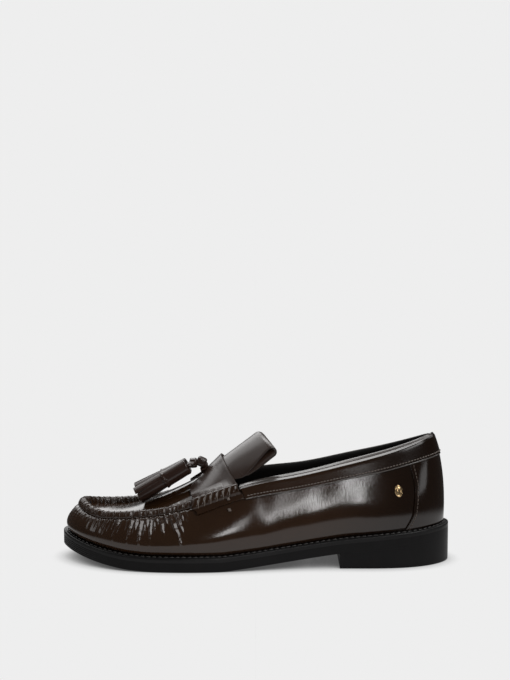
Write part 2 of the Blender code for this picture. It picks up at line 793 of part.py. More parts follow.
def main():
    for obj in list(bpy.data.objects):
        bpy.data.objects.remove(obj)
    shoe = bpy.data.collections.new("tassel_loafer")
    cutters = bpy.data.collections.new("cutters")
    bpy.context.scene.collection.children.link(shoe)
    bpy.context.scene.collection.children.link(cutters)
    make_sole(shoe)
    make_heel(shoe)
    make_upper(shoe)
    make_strap(shoe)
    make_collar_band(shoe)
    make_heel_counter(shoe)
    make_tongue(shoe)
    for name, x, y, z, slope, splay in TASSELS:
        make_tassel(name, Vector((x, y, z)), tassel_tilt(slope, splay), shoe)
    make_knot(shoe, cutters)
    make_stud(shoe)


main()
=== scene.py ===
"""Looks of the left tassel loafer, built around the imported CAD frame. Metres, toe to -X, outer side to -Y."""

import math

import bpy
import numpy as np
from mathutils import Matrix, Vector


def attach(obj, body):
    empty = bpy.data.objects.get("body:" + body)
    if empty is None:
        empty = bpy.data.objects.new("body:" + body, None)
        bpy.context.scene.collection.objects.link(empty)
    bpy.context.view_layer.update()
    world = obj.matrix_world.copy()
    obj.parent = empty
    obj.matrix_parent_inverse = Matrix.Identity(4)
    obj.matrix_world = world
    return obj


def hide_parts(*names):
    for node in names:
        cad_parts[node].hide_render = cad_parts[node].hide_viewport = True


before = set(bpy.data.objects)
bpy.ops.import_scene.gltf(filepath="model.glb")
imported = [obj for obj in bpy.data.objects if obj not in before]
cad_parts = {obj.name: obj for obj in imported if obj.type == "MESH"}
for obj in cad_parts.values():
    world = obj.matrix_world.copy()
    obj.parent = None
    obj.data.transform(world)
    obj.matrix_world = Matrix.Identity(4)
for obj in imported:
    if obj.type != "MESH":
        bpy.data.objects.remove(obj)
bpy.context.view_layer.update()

# Driving dimensions of the shoe
LENGTH = 0.268
BALL_WIDTH = 0.091
BACK_HEIGHT = 0.0885
INSTEP_RISE = 0.0155
TOE_SPRING = 0.0098
HEEL_HEIGHT = 0.0101
SEAT_HEIGHT = 0.0169
BREAST_X = 0.0575
OUTSOLE_THICKNESS = 0.0068
WELT_THICKNESS = 0.0029
WELT_WIDTH = 0.0070
INSOLE_THICKNESS = 0.0056
WALL = 0.0018
APRON_THICKNESS = 0.0015
STRAP_THICKNESS = 0.0014
BAND_THICKNESS = 0.0011
BINDING_THICKNESS = 0.0004
COUNTER_THICKNESS = 0.0010
TONGUE_THICKNESS = 0.0017
EDGE_ROUNDING = 0.0003
GAP = 0.0003
LAID_ON = 0.0002
PRESSED = 0.00003
FOOT_INSET = 0.0045
MID_SHARES = ((0.0, 0.40), (4.5, 0.40), (6.5, 0.50), (11.0, 0.50))
PROFILE_HEIGHTS = (0.0, 0.2, 0.6, 1.0)
INSIDE = np.array((0.0, 0.0, 0.035))

# One row for each upright section: heel back, outer side, toe, inner side. Shares of half length, half ball
# width and back height; belly in metres.
SECTION_COLUMNS = ("edge_x", "edge_y", "rim_x", "rim_y", "rim_z", "belly")
SECTIONS = np.array((
    (1.000, -0.044, 0.912, -0.044, 1.000, 0.0042),
    (0.890, -0.527, 0.835, -0.341, 0.973, 0.0036),
    (0.677, -0.725, 0.647, -0.484, 0.893, 0.0027),
    (0.429, -0.736, 0.436, -0.538, 0.816, 0.0023),
    (0.188, -0.791, 0.211, -0.560, 0.737, 0.0023),
    (-0.038, -0.901, -0.015, -0.604, 0.675, 0.0023),
    (-0.241, -0.989, -0.226, -0.615, 0.574, 0.0023),
    (-0.451, -0.993, -0.436, -0.615, 0.475, 0.0023),
    (-0.662, -0.890, -0.632, -0.615, 0.438, 0.0023),
    (-0.827, -0.648, -0.774, -0.495, 0.426, 0.0023),
    (-0.947, -0.308, -0.858, -0.231, 0.449, 0.0023),
    (-1.000, 0.088, -0.891, 0.066, 0.468, 0.0023),
    (-0.959, 0.462, -0.868, 0.352, 0.445, 0.0023),
    (-0.842, 0.769, -0.792, 0.560, 0.419, 0.0023),
    (-0.677, 0.949, -0.647, 0.659, 0.416, 0.0023),
    (-0.474, 1.000, -0.451, 0.681, 0.463, 0.0023),
    (-0.263, 0.934, -0.241, 0.659, 0.571, 0.0023),
    (-0.038, 0.769, -0.023, 0.615, 0.672, 0.0023),
    (0.188, 0.648, 0.211, 0.538, 0.720, 0.0023),
    (0.429, 0.626, 0.436, 0.473, 0.792, 0.0023),
    (0.677, 0.637, 0.647, 0.407, 0.864, 0.0027),
    (0.890, 0.440, 0.835, 0.250, 0.948, 0.0036),
))
COUNT = len(SECTIONS)
TOE = COUNT // 2

# Height of the outsole's underside, by shares of half the length
UNDERSIDE = (
    (-1.00, TOE_SPRING), (-0.86, 0.0052), (-0.75, 0.0026), (-0.64, 0.0008), (-0.50, 0.0), (-0.19, 0.0),
    (-0.08, 0.0012), (0.13, 0.0046), (0.33, 0.0083), (BREAST_X / (LENGTH / 2), HEEL_HEIGHT), (0.70, 0.0136),
    (1.00, SEAT_HEIGHT),
)

# Apron: sections back from the toe, share of the instep rise, lean to the toe
APRON = (
    (0.0, 0.00, 0.0), (1.0, -0.05, 0.0), (2.0, 0.02, 0.0), (3.0, 0.14, 0.0005), (4.0, 0.40, 0.0025),
    (5.0, 0.66, 0.0058), (5.5, 0.97, 0.0088), (5.7, 0.98, 0.0108),
)
APRON_SWELL = 0.0007
APRON_TUCK = 0.0003
APRON_PULL = 0.00025
ARCH_POWER = 0.85
THROAT_BACK = 5.5

# Moccasin seam, as a rolled bead along the rim: down the wall and out from it, then in and down to the apron
BEAD_OUTER = ((0.0060, 0.0), (0.0050, -0.0003), (0.0043, -0.0009), (0.0037, 0.0002), (0.0026, 0.0010),
              (0.0013, 0.0012), (0.0002, 0.0008))
BEAD_INNER = ((0.0012, 0.0), (0.0021, 0.0008), (0.0026, 0.0018), (0.0027, 0.0026))
PLAIN_BELOW = (0.0060, 0.0056, 0.0052, 0.0048, 0.0045, 0.0042, 0.0039, 0.0037, 0.0035, 0.0033, 0.0031)
# How much lower the apron lies at the toe, and the sections over which this ends
TOE_SUNK = 0.0018
TOE_SUNK_BACK = (2.4, 4.2)
BEAD_UNDER_STRAP = (4.45, 4.75)
BEAD_FADE = (5.35, 5.75)
BEAD_PITCH = 0.0044
BEAD_ROWS = 16
# Sections back from the toe as far as the bead is stitched
BEAD_STITCHED_BACK = 4.5
SEAM_DROP = 0.0043
FACE_ROWS = 46
# Height over which painted shade darkens the upper's foot, where it turns under above the welt
FOOT_SHADE = 0.0022
# Crumpled wrinkles: share at the seam, how far down they fade, share on a fold, and a full fold's height
CRUMPLED_SEAM = 0.22
CRUMPLED_REACH = 0.006
CRUMPLED_FOLD = 0.4
FULL_FOLD = 0.0006
# Radii of threads and piping, and the middles of the rolls that stitches go round: below the rim and out
BEAD_STITCH_RADIUS = 0.00032
STRAP_STITCH_RADIUS = 0.00042
THREAD_END_RADIUS = 0.00060
PIPING_RADIUS = 0.00050
BEAD_MIDDLE = (0.0024, -0.0016)
STRAP_ROLL_MIDDLE = (0.0028, -0.0016)
# Half the slant of a stitch along the seam
BEAD_STITCH_SLANT = 0.0011
STRAP_STITCH_SLANT = 0.0002
# Columns of the upper's mesh for each section, by place around
COLUMN_DENSITY = (
    (0.0, 12), (5.2, 12), (5.5, 26), (6.4, 30), (6.6, 74), (9.9, 74), (10.1, 46), (12.5, 46), (15.6, 40),
    (16.0, 26), (16.8, 12), (22.0, 12),
)

# Saddle strap: its front and rear edges by shares of the way over the instep, in sections back from the toe
STRAP_FRONT = ((0.0, 4.72), (0.14, 4.56), (0.34, 4.62), (0.5, 5.14), (0.66, 4.62), (0.86, 4.56), (1.0, 4.72))
STRAP_REAR = ((0.0, 5.84), (0.14, 5.70), (0.22, 5.65), (0.78, 5.65), (0.86, 5.70), (1.0, 5.84))
STRAP_OVER_BEAD = ((0.0068, 0.0), (0.0060, 0.0004), (0.0050, 0.0016), (0.0034, 0.0021), (0.0016, 0.0020),
                   (0.0006, 0.0014), (0.0, 0.0002))
STRAP_DROP = 0.0104
STRAP_PITCH = 0.0045
STRAP_STITCHED_BACK = (4.62, 5.60)
STRAP_FLAP_ROWS = 6
STRAP_BEAD_ROWS = 20
STRAP_END_ROWS = STRAP_FLAP_ROWS + STRAP_BEAD_ROWS
STRAP_TOP_ROWS = 50
STRAP_COLUMNS = 150
STITCH_STANDS = 0.72
STITCH_POINTS = 12
# Knotted thread ends on the outer side: x, distance below the rim, distance out; each end's turn and reach
THREAD_ENDS = ((-0.0176, 0.0076, 0.0017), (-0.0164, 0.0146, 0.0003))
THREAD_END_WAYS = ((0.5, 0.0013), (1.9, 0.0010))

# Collar band
BAND_DROPS = ((0.0, 0.0145), (3.0, 0.0126), (5.3, 0.0112))
BAND_FRONT_BACK = 5.68
BAND_FRONT_SLANT = 0.19
BAND_LEAN = 0.0006
BAND_COLUMNS = 240
# The padded collar's top: down the wall and out from it, over the band's edge and then over the lining's edge
BAND_ROLL = ((0.0043, 0.0001), (0.0038, -0.0002), (0.0034, -0.0007), (0.0028, -0.0014), (0.0025, -0.0018))
LINING_ROLL = ((0.0034, -0.0002), (0.0022, 0.0001), (0.0016, -0.0001), (0.0008, -0.0009), (0.0001, -0.0017),
               (0.0, -0.0022), (0.0008, -0.0027), (0.0030, -0.0026))
LINING_RUN = ((0.0065, -0.0015), (0.0105, -0.0002))
# Size of the padded top, by sections from the heel's back
ROLL_SIZES = ((0.0, 0.50), (1.0, 0.72), (2.0, 0.92), (3.0, 1.0), (5.7, 1.0))
# Last row of faces before the second material, on the band and on the lining's edge
BAND_LAST_ROW = 13
BINDING_LAST_ROW = 26
# How far the quarter swells out under the band's edge, from how far below it, and from which sections on
QUARTER_SWELL = 0.0004
QUARTER_SWELL_REACH = 0.014
QUARTER_SWELL_BACK = (5.2, 6.2)

# Heel counter: x of its front edge, by shares of its height
COUNTER_FRONT = ((0.0, 0.1020), (0.25, 0.1074), (0.6, 0.1086), (1.0, 0.1052))
COUNTER_LOW = 0.012
COUNTER_TUCK = 0.0004
COUNTER_SEAM = 0.075

# Rows of single stitches: pitch, length and radius
COLLAR_STITCHES = (0.0022, 0.0016, 0.00036)
COUNTER_STITCHES = (0.0026, 0.0019, 0.00032)
WELT_STITCHES = (0.0040, 0.0030, 0.00035)

# Tongue
TONGUE_HALF_WIDTH = 0.0215
TONGUE_BASE = np.array((-0.0234, 0.0, 0.0691))
TONGUE_TOP = np.array((0.0008, 0.0, 0.0872))
TONGUE_ARCH = 0.0128
TONGUE_TOP_OUTER_ARCH = 0.0104
TONGUE_TOP_INNER_ARCH = 0.0090
TONGUE_SLANT = 0.13
TONGUE_FOLD_RADIUS = 0.0030
TONGUE_BACK_LENGTH = 0.026
TONGUE_BACK_DEPTH = 0.0018
TONGUE_ROUNDING = 0.0004
# How far the tongue's sides sag between its base and its fold, and the shares of its length over which this
# starts and ends
TONGUE_SAG = 0.0036
TONGUE_SAG_START = (-0.05, 0.26)
TONGUE_SAG_END = (0.20, 1.05)

# Sole: places over which the ribs at the toe end, their depth and number, and the teeth wheeled into the welt
RIBBED_X = (-0.124, -0.100)
RIB_DEPTH = 0.00030
RIB_COUNT = 5
WELT_TEETH = 560
WELT_COLUMNS = 2400
WELT_SEAM_INSET = 0.0030
# Outline of the welt: share of its height, distance in from the edge, share of the teeth's depth
WELT_OUTLINE = ((0.0, WELT_WIDTH, 0.0), (0.0, 0.0, 0.0), (0.60, 0.0, 0.0), (0.85, 0.0001, 0.2),
                (0.97, 0.0004, 1.0), (1.0, 0.0009, 0.6), (1.0, 0.0018, 0.0), (1.0, WELT_WIDTH, 0.0),
                (0.0, WELT_WIDTH, 0.0))
# Outlines of the heel and insole: share of the height, distance in
HEEL_OUTLINE = ((0.0, 0.0007), (0.03, 0.0001), (0.10, 0.0), (0.5, 0.0), (1.0, 0.0))
INSOLE_INSET = WELT_WIDTH + GAP
INSOLE_OUTLINE = ((0.0, INSOLE_INSET), (0.7, INSOLE_INSET), (0.93, INSOLE_INSET + 0.0002),
                  (1.0, INSOLE_INSET + 0.0012))

# Tassels: name, place of the cap's top, slope and splay in degrees
TASSELS = (
    ("tassel_outer", (-0.0470, -0.0072, 0.0660), 31.0, 2.0),
    ("tassel_inner", (-0.0470, 0.0072, 0.0640), 28.2, -1.4),
)
# Radius and height of the cap's profile
TASSEL_CAP = (
    (0.0, -0.0020), (0.0030, -0.0020), (0.0038, -0.0010), (0.0044, -0.0001), (0.0050, 0.0001),
    (0.0055, -0.0006), (0.0054, -0.0030), (0.0055, -0.0080), (0.0056, -0.0150), (0.0057, -0.0166),
    (0.0061, -0.0178), (0.0062, -0.0184), (0.0060, -0.0189), (0.0050, -0.0190), (0.0, -0.0190),
)
TASSEL_LENGTH = 0.0395
TASSEL_STRIP = (0.0059, 0.0014)
TASSEL_STRIP_START = 0.0172
# Layers of strips: count and distance from the middle; the way that the first strip faces
TASSEL_LAYERS = ((6, 0.0051), (4, 0.0030))
TASSEL_FACING = math.radians(-82)

# Knot: name, middle, length and droop in degrees of its lobes; the tail's end; the lace's width and thickness
KNOT_LOBES = (
    ("knot_wrap", (-0.0430, 0.0, 0.0668), 0.0054, 4),
    ("knot_block", (-0.0374, 0.0, 0.0676), 0.0068, -24),
)
KNOT_RADIUS = 0.0035
LACE_END = (-0.0392, 0.0, 0.0614)
LACE_TAIL = (0.0050, 0.0030)
LACE_ARM = (0.0046, 0.0030)
LACE_CORNER = 0.45

# Plain stud: place, size, and its profile as a share of the radius and a height
STUD_X = 0.0972
STUD_HEIGHT = 0.50
STUD_SIZE = (0.0052, 0.0084)
STUD_PROFILE = np.array((
    (0.0, 0.00105), (0.35, 0.00100), (0.62, 0.00078), (0.72, 0.00062), (0.78, 0.00062), (0.84, 0.00085),
    (0.93, 0.00085), (1.0, 0.00055), (1.0, -0.0002), (0.0, -0.0002),
))

# Slow waves of the leather: height, waves along and upwards, start
WAVES = ((0.00005, 150, 90, 0.0), (0.00002, 310, -210, 1.7))
# Flex trough on the outer quarter: place and size along the shoe and upwards
FLEX_PLACE = (0.004, 0.036)
FLEX_SIZE = (0.0065, 0.012)
FLEX_DEPTH = 0.0003

# Pleats gathered into the seam: distance back from the toe's middle along the seam, how far a pleat runs back
# for each length down, its length, and the width and slope of its flat flank
OUTER_PLEATS = (
    (0.0340, -0.25, 0.011, 0.0015, 0.50),
    (0.0382, -0.20, 0.013, 0.0016, 0.52),
    (0.0446, -0.15, 0.016, 0.0021, 0.55),
    (0.0532, -0.08, 0.018, 0.0024, 0.55),
    (0.0590, 0.00, 0.023, 0.0028, 0.52),
    (0.0655, 0.05, 0.021, 0.0022, 0.50),
    (0.0715, 0.25, 0.019, 0.0025, 0.46),
    (0.0775, 0.42, 0.027, 0.0032, 0.45),
    (0.0825, 0.35, 0.019, 0.0022, 0.42),
    (0.0870, 0.45, 0.014, 0.0018, 0.40),
)
INNER_PLEATS = (
    (0.0380, -0.22, 0.011, 0.0013, 0.50),
    (0.0440, -0.18, 0.013, 0.0015, 0.50),
    (0.0510, -0.12, 0.015, 0.0018, 0.50),
    (0.0575, -0.04, 0.017, 0.0019, 0.50),
    (0.0650, 0.05, 0.019, 0.0021, 0.50),
    (0.0725, 0.15, 0.017, 0.0019, 0.48),
    (0.0800, 0.35, 0.021, 0.0022, 0.46),
    (0.0870, 0.40, 0.015, 0.0016, 0.42),
)
# Each pleat is a bundle of folds: offset in widths, share of the slope, share of the length
PLEAT_STRANDS = ((0.0, 1.0, 1.0), (1.15, 0.70, 0.75), (-1.0, 0.60, 0.55))
TOE_PLEAT_STEP = 0.0030
TOE_PLEAT_COUNT = 12
TOE_PLEAT_LEAN = 0.010
TOE_PLEAT_WIDTH = 0.0008
SCALLOP = 0.00022

# Painted shade: the leather's colour darkens toward the heel between these places, to this share of the colour,
# and darkens along the foot where the upper turns under above the welt
PAINTED_REAR_SHADE_X = (0.035, 0.112)
PAINTED_REAR_SHADE_SHARE = 0.38
PAINTED_FOOT_SHADE_COLOR = (0.0015, 0.0009, 0.0006, 1.0)
GATHER_DULLS = 0.14
SMOOTH_ANGLE = 62

CAMERA_ELEVATION = 12.0
CAMERA_DISTANCE = 1.300
CAMERA_AIM_Z = 0.045
CAMERA_X = -0.0003
CAMERA_LENS = 98.6
CAMERA_TILT_UP = 4.716
# The pale table that the leather mirrors: its stretch and shift, and the distances over which it ends
TABLE_SHAPE = ((0.80, 1.0, 1.0), (-0.028, 0.0, 0.0))
TABLE_REACH = (0.155, 0.205)
# Brightness of floor and backdrop, and of the room around; how far the shoe's shadow reaches, the openness
# over which it fades, and its darkest
PALE = 0.855
DIM = 0.06
SHADOW_REACH = 0.022
SHADOW_RANGE = (0.10, 0.80)
SHADOW_DARK = 0.08
# name, place, aim, size, watts
LIGHTS = (
    ("overhead_softbox", (0.0, 1.25, 2.20), (0.0, 0.20, 0.0), (7.0, 2.0), 77.0),
    ("back_panel", (-0.66, 1.83, 0.90), (-0.08, 0.0, 0.05), (1.44, 1.06), 9.6),
    ("top_strip", (-0.25, 0.85, 2.20), (0.0, 0.0, 0.06), (1.30, 0.80), 13.0),
    ("left_softbox", (-1.55, -0.42, 1.40), (0.0, 0.0, 0.06), (1.10, 1.00), 1.5),
    ("quarter_softbox", (0.098, -0.63, 0.158), (0.05, -0.03, 0.05), (0.034, 0.100), 0.178),
    ("patch_softbox", (0.120, -0.63, 0.252), (0.02, -0.03, 0.05), (0.056, 0.088), 0.080),
    ("heel_softbox", (1.145, -0.63, 0.14), (0.118, -0.012, 0.055), (0.34, 0.22), 0.38),
    ("glint_softbox", (0.80, -0.88, 1.18), (-0.06, -0.04, 0.03), (0.90, 1.00), 15.0),
    ("toe_softbox", (-1.30, -0.40, 0.45), (-0.10, 0.0, 0.03), (0.25, 0.50), 0.7),
)


# The shoe's form

def unit(vectors):
    return vectors / np.maximum(np.linalg.norm(vectors, axis=-1, keepdims=True), 1e-12)


def run_length(points):
    """Distance along a line of points, from its first one."""
    steps = np.linalg.norm(np.diff(points, axis=0), axis=1)
    return np.concatenate(([0.0], np.cumsum(steps)))


def over_plan(plan, z):
    """Points at heights over a plan."""
    return np.concatenate((plan, np.broadcast_to(z, plan.shape[:-1])[..., None]), -1)


def closed_curve(values):
    """Second derivatives of the closed cubic spline through one value at each whole number."""
    eye = np.eye(len(values))
    matrix = (4 * eye + np.roll(eye, 1, 0) + np.roll(eye, -1, 0)) / 6
    return np.linalg.solve(matrix, np.roll(values, 1) - 2 * values + np.roll(values, -1))


CURVES = {name: (SECTIONS[:, i], closed_curve(SECTIONS[:, i])) for i, name in enumerate(SECTION_COLUMNS)}


def read(name, around):
    """A column of the sections, at places around."""
    values, bends = CURVES[name]
    first = np.floor(around).astype(int)
    share = around - first
    i, j, rest = first % COUNT, (first + 1) % COUNT, 1 - share
    bent = (rest**3 - rest) * bends[i] + (share**3 - share) * bends[j]
    return rest * values[i] + share * values[j] + bent / 6


ALL_ROUND = np.linspace(0, COUNT, 40 * COUNT, endpoint=False)
EDGE_X, EDGE_Y = read("edge_x", ALL_ROUND), read("edge_y", ALL_ROUND)
X_MIDDLE, Y_MIDDLE = (EDGE_X.max() + EDGE_X.min()) / 2, (EDGE_Y.max() + EDGE_Y.min()) / 2
X_SCALE, Y_SCALE = LENGTH / np.ptp(EDGE_X), BALL_WIDTH / np.ptp(EDGE_Y)


def plan_of(line, around):
    x = (read(line + "_x", around) - X_MIDDLE) * X_SCALE
    return np.stack((x, (read(line + "_y", around) - Y_MIDDLE) * Y_SCALE), -1)


def edge(around):
    """The sole's outline, in plan."""
    return plan_of("edge", around)


def rim(around):
    """The top of the wall."""
    return over_plan(plan_of("rim", around), read("rim_z", around) * BACK_HEIGHT)


def inset_edge(around, distance):
    """The sole's outline moved inwards, square to itself."""
    along = edge(around + 0.02) - edge(around - 0.02)
    inward = unit(np.stack((along[..., 1], -along[..., 0]), -1))
    return edge(around) + inward * np.asarray(distance)[..., None]


def from_toe(around):
    """Sections from the toe, on either side."""
    return np.abs(np.mod(around, COUNT) - TOE)


def smooth(rows, x, column=1):
    """Monotone cubic through a column of rows whose first column rises."""
    table = np.array(rows, float)
    xs, ys = table[:, 0], table[:, column]
    steps = np.diff(xs)
    slopes = np.diff(ys) / steps
    before, after = slopes[:-1], slopes[1:]
    total = np.where(before + after == 0, 1, before + after)
    inner = np.where(before * after <= 0, 0.0, 2 * before * after / total)
    tangents = np.concatenate((slopes[:1], inner, slopes[-1:]))
    x = np.clip(x, xs[0], xs[-1])
    i = np.clip(np.searchsorted(xs, x, side="right") - 1, 0, len(steps) - 1)
    t = (x - xs[i]) / steps[i]
    turned = tangents[i] * t * (1 - t) ** 2 - tangents[i + 1] * t * t * (1 - t)
    return ys[i] * (1 + 2 * t) * (1 - t) ** 2 + ys[i + 1] * t * t * (3 - 2 * t) + steps[i] * turned


def fade(low, high, value):
    """1 up to low, 0 from high, smooth between."""
    t = np.clip((value - low) / (high - low), 0.0, 1.0)
    return 1 - t * t * (3 - 2 * t)


def floor_level(x):
    return np.zeros_like(x)


def underside(x):
    return smooth(UNDERSIDE, x / (LENGTH / 2))


def heel_top(x):
    return underside(x) - PRESSED


def outsole_top(x):
    return underside(x) + OUTSOLE_THICKNESS


def welt_base(x):
    return outsole_top(x) + GAP


def welt_top(x):
    return welt_base(x) + WELT_THICKNESS


def insole_top(x):
    return welt_base(x) + INSOLE_THICKNESS


class Wall:
    """Upright sections of the upper's outer face, one for each place around."""

    def __init__(self, around):
        self.around = np.asarray(around, float)
        self.back = from_toe(self.around)
        self.edge, self.rim = edge(self.around), rim(self.around)
        across = self.rim[..., :2] - self.edge
        self.width = np.linalg.norm(across, axis=-1)
        self.inward = across / self.width[..., None]
        self.belly = read("belly", self.around)
        self.foot = welt_top((self.edge + self.inward * FOOT_INSET)[..., 0]) + GAP
        self.height = self.rim[..., 2] - self.foot
        self.middle = np.maximum(smooth(MID_SHARES, self.back) * self.width, self.belly)
        self.bead = fade(*BEAD_FADE, self.back)

    def inset(self, share):
        insets = (np.full_like(self.width, FOOT_INSET), self.belly, self.middle, self.width)
        total = 0.0
        for i, value in enumerate(insets):
            weight = 1.0
            for j, other in enumerate(PROFILE_HEIGHTS):
                if j != i:
                    weight = weight * (share - other) / (PROFILE_HEIGHTS[i] - other)
            total = total + weight * value
        return total

    def at(self, inset, z):
        return over_plan(self.edge + self.inward * np.asarray(inset)[..., None], z)

    def point(self, share):
        return self.at(self.inset(share), self.foot + share * self.height)

    def normal(self, share):
        rise = self.point(share + 0.02) - self.point(share - 0.02)
        run = (rise[..., :2] * self.inward).sum(-1)
        return unit(np.concatenate((-self.inward * rise[..., 2:], run[..., None]), -1))

    def below(self, distance, out=0.0):
        """Down from the rim by a distance, moved out square to the wall."""
        share = 1 - distance / self.height
        return self.point(share) + self.normal(share) * np.asarray(out)[..., None]


def around_where(x, line):
    """Sections from the heel's back to where a line along the shoe's side has this x."""
    low, high = 0.0, 5.0
    for _ in range(40):
        middle = (low + high) / 2
        if line(np.array([middle]))[0, 0] > x:
            low = middle
        else:
            high = middle
    return low


def around_at_x(x, share, side):
    """Place around where the wall has this x at a share of its height."""
    return side * around_where(x, lambda around: Wall(side * around).point(share))


def around_of_rim(x):
    """Place on the outer side where the rim has this x."""
    places = np.linspace(0.5, TOE - 0.5, 2000)
    return float(np.interp(-x, -rim(places)[:, 0], places))


def through(points, count):
    """Smooth curve through points (n, ..., 3), sampled count times along its first axis."""
    points = np.asarray(points, float)
    ends = np.concatenate((2 * points[:1] - points[1:2], points, 2 * points[-1:] - points[-2:-1]))
    t = np.linspace(0, len(points) - 1 - 1e-9, count)
    i = t.astype(int)
    f = (t - i).reshape((-1,) + (1,) * (points.ndim - 1))
    a, b, c, d = ends[i], ends[i + 1], ends[i + 2], ends[i + 3]
    return 0.5 * (2 * b + (c - a) * f + (2 * a - 5 * b + 4 * c - d) * f**2 + (3 * b - a - 3 * c + d) * f**3)


SEAM_AROUND = np.linspace(TOE - 6.2, TOE + 6.2, 1200)
SEAM_LENGTH = run_length(rim(SEAM_AROUND))
SEAM_LENGTH -= np.interp(TOE, SEAM_AROUND, SEAM_LENGTH)


def seam_place(around):
    """Distance along the seam from the toe's middle: outer side negative."""
    return np.interp(around, SEAM_AROUND, SEAM_LENGTH)


def seam_around(place):
    return np.interp(place, SEAM_LENGTH, SEAM_AROUND)


def bead_pinch(around):
    """Swell of the bead between its stitches."""
    shown = 0.45 + 0.55 * fade(*BEAD_UNDER_STRAP, from_toe(around))
    place = seam_place(around)
    swell = 1 + 0.22 * np.sin(place * 870 + 1) + 0.16 * np.sin(place * 1930)
    return shown * swell * (0.55 + 0.45 * np.abs(np.sin(np.pi * place / BEAD_PITCH)) ** 0.6)


def apron_depth(wall, down):
    """Depth below the rim on the bead's inner side, more at the toe."""
    return down * (1 + TOE_SUNK * fade(*TOE_SUNK_BACK, wall.back) / BEAD_INNER[-1][1])


def bead_rows(wall):
    """Rows of points over the bead, from the wall below it to the apron's edge."""
    pinch = bead_pinch(wall.around)
    rolled = [wall.below(below, out * (pinch if out > 0 else 1.0)) for below, out in BEAD_OUTER]
    for inward, down in BEAD_INNER:
        swell = inward * (1 + 0.55 * (pinch - 0.9)) if down < BEAD_INNER[-1][1] else inward
        rolled.append(wall.at(wall.width + swell, wall.rim[..., 2] - apron_depth(wall, down)))
    plain = [wall.below(below) for below in PLAIN_BELOW]
    bead = wall.bead[..., None]
    return through([p + (r - p) * bead for p, r in zip(plain, rolled)], BEAD_ROWS)


def apron_edge(back):
    """The apron's outer and inner edges, at sections back from the toe."""
    edges = []
    inward, down = BEAD_INNER[-1]
    for side in (-1, 1):
        wall = Wall(TOE + side * np.asarray(back, float))
        z = wall.rim[..., 2] - apron_depth(wall, down) + APRON_TUCK
        rolled = wall.at(wall.width + inward - APRON_TUCK, z)
        edges.append(wall.rim + (rolled - wall.rim) * wall.bead[..., None])
    return edges


def apron_point(back, across):
    back, across = np.broadcast_arrays(np.asarray(back, float), np.asarray(across, float))
    outer, inner = apron_edge(back)
    arch = np.maximum(1 - (2 * across - 1) ** 2, 0.0) ** ARCH_POWER
    rise = smooth(APRON, back, 1) * INSTEP_RISE + APRON_SWELL * fade(0.5, 3.0, back)
    rise = rise * arch * (1 - fade(0.0, 0.5, back))
    lean = smooth(APRON, back, 2) * arch
    return outer + (inner - outer) * across[..., None] + np.stack((-lean, np.zeros_like(rise), rise), -1)


def apron_normal(back, across):
    run = apron_point(back + 0.03, across) - apron_point(back - 0.03, across)
    reach = apron_point(back, across + 0.01) - apron_point(back, across - 0.01)
    normal = unit(np.cross(run, reach))
    return normal * np.sign(normal[..., 2:])


def grid_normals(points):
    """Unit normals of a sheet of points (rows, columns, 3), away from the inside of the shoe."""
    normal = unit(np.cross(np.gradient(points, axis=1), np.gradient(points, axis=0)))
    return normal if (normal * (points - INSIDE)).sum() >= 0 else -normal


def band_drop(around):
    """Depth of the collar band."""
    return smooth(BAND_DROPS, TOE - from_toe(around))


def roll_size(around):
    """Size of the collar's padded top."""
    return smooth(ROLL_SIZES, TOE - from_toe(around))


def pleat_fold(x):
    """A steep side, then a flat flank that faces back."""
    return np.where(x < 0, np.clip(1 + x / 0.3, 0, 1), np.clip(1 - x, 0, 1))


def toe_fold(x):
    """A soft ridge with a trough behind it."""
    return np.exp(-(x**2)) - 0.7 * np.exp(-(((x - 1.5) / 1.1) ** 2))


def pleats(place, below):
    """Relief of the gathered vamp: place along the seam, and distance below it."""
    relief = np.zeros(np.broadcast(place, below).shape)
    back = np.abs(place)
    deep = np.maximum(below, 0.0)
    for table, side in ((OUTER_PLEATS, place < 0), (INNER_PLEATS, place >= 0)):
        for at, lean, length, width, slope in table:
            for strand, (offset, share, reach) in enumerate(PLEAT_STRANDS):
                phase = at * 4000 + 2.1 * strand
                wander = 0.00022 * np.sin(deep * 700 + phase) + 0.00006 * np.sin(deep * 2100 + 2 * phase)
                run = np.clip(deep / (length * reach), 0, 1)
                flank = width * (1 - 0.5 * run)
                x = (back - at - offset * width - lean * deep - wander) / flank
                crumple = 0.93 + 0.07 * np.sin(deep * 1300 + phase)
                relief += side * slope * share * flank * pleat_fold(x) * crumple * (1 - run**3)
    for i in range(-TOE_PLEAT_COUNT, TOE_PLEAT_COUNT + 1):
        at = TOE_PLEAT_STEP * (i + 0.25 * math.sin(5.1 * i))
        length = 0.014 + 0.004 * math.sin(2.7 * i)
        depth = 0.00018 + 0.00010 * math.sin(3.9 * i + 1)
        x = (place - at + TOE_PLEAT_LEAN * i * deep) / TOE_PLEAT_WIDTH
        relief += depth * toe_fold(x) * np.clip(1 - deep / length, 0, 1)
    return relief + SCALLOP * np.cos(2 * np.pi * place / BEAD_PITCH) * np.exp(-deep / 0.003)


def unevenness(points):
    """Slow waves of leather pulled over a last, and a soft flex trough behind the strap's outer end."""
    x, y, z = points[..., 0], points[..., 1], points[..., 2]
    waves = sum(height * np.sin(along * x + up * z + start) for height, along, up, start in WAVES)
    flex = np.exp(-(((x - FLEX_PLACE[0]) / FLEX_SIZE[0]) ** 2) - ((z - FLEX_PLACE[1]) / FLEX_SIZE[1]) ** 2)
    return waves - FLEX_DEPTH * flex * (y < 0)


# Making pieces

def add_grid(points, name):
    """A grid primitive with its points laid on the given places."""
    rows, columns = points.shape[:2]
    bpy.ops.object.select_all(action="DESELECT")
    bpy.ops.mesh.primitive_grid_add(x_subdivisions=columns - 1, y_subdivisions=rows - 1, size=0.1)
    piece = bpy.context.object
    piece.name = piece.data.name = name
    piece.data.vertices.foreach_set("co", np.ascontiguousarray(points, np.float32).ravel())
    piece.data.update()
    return piece


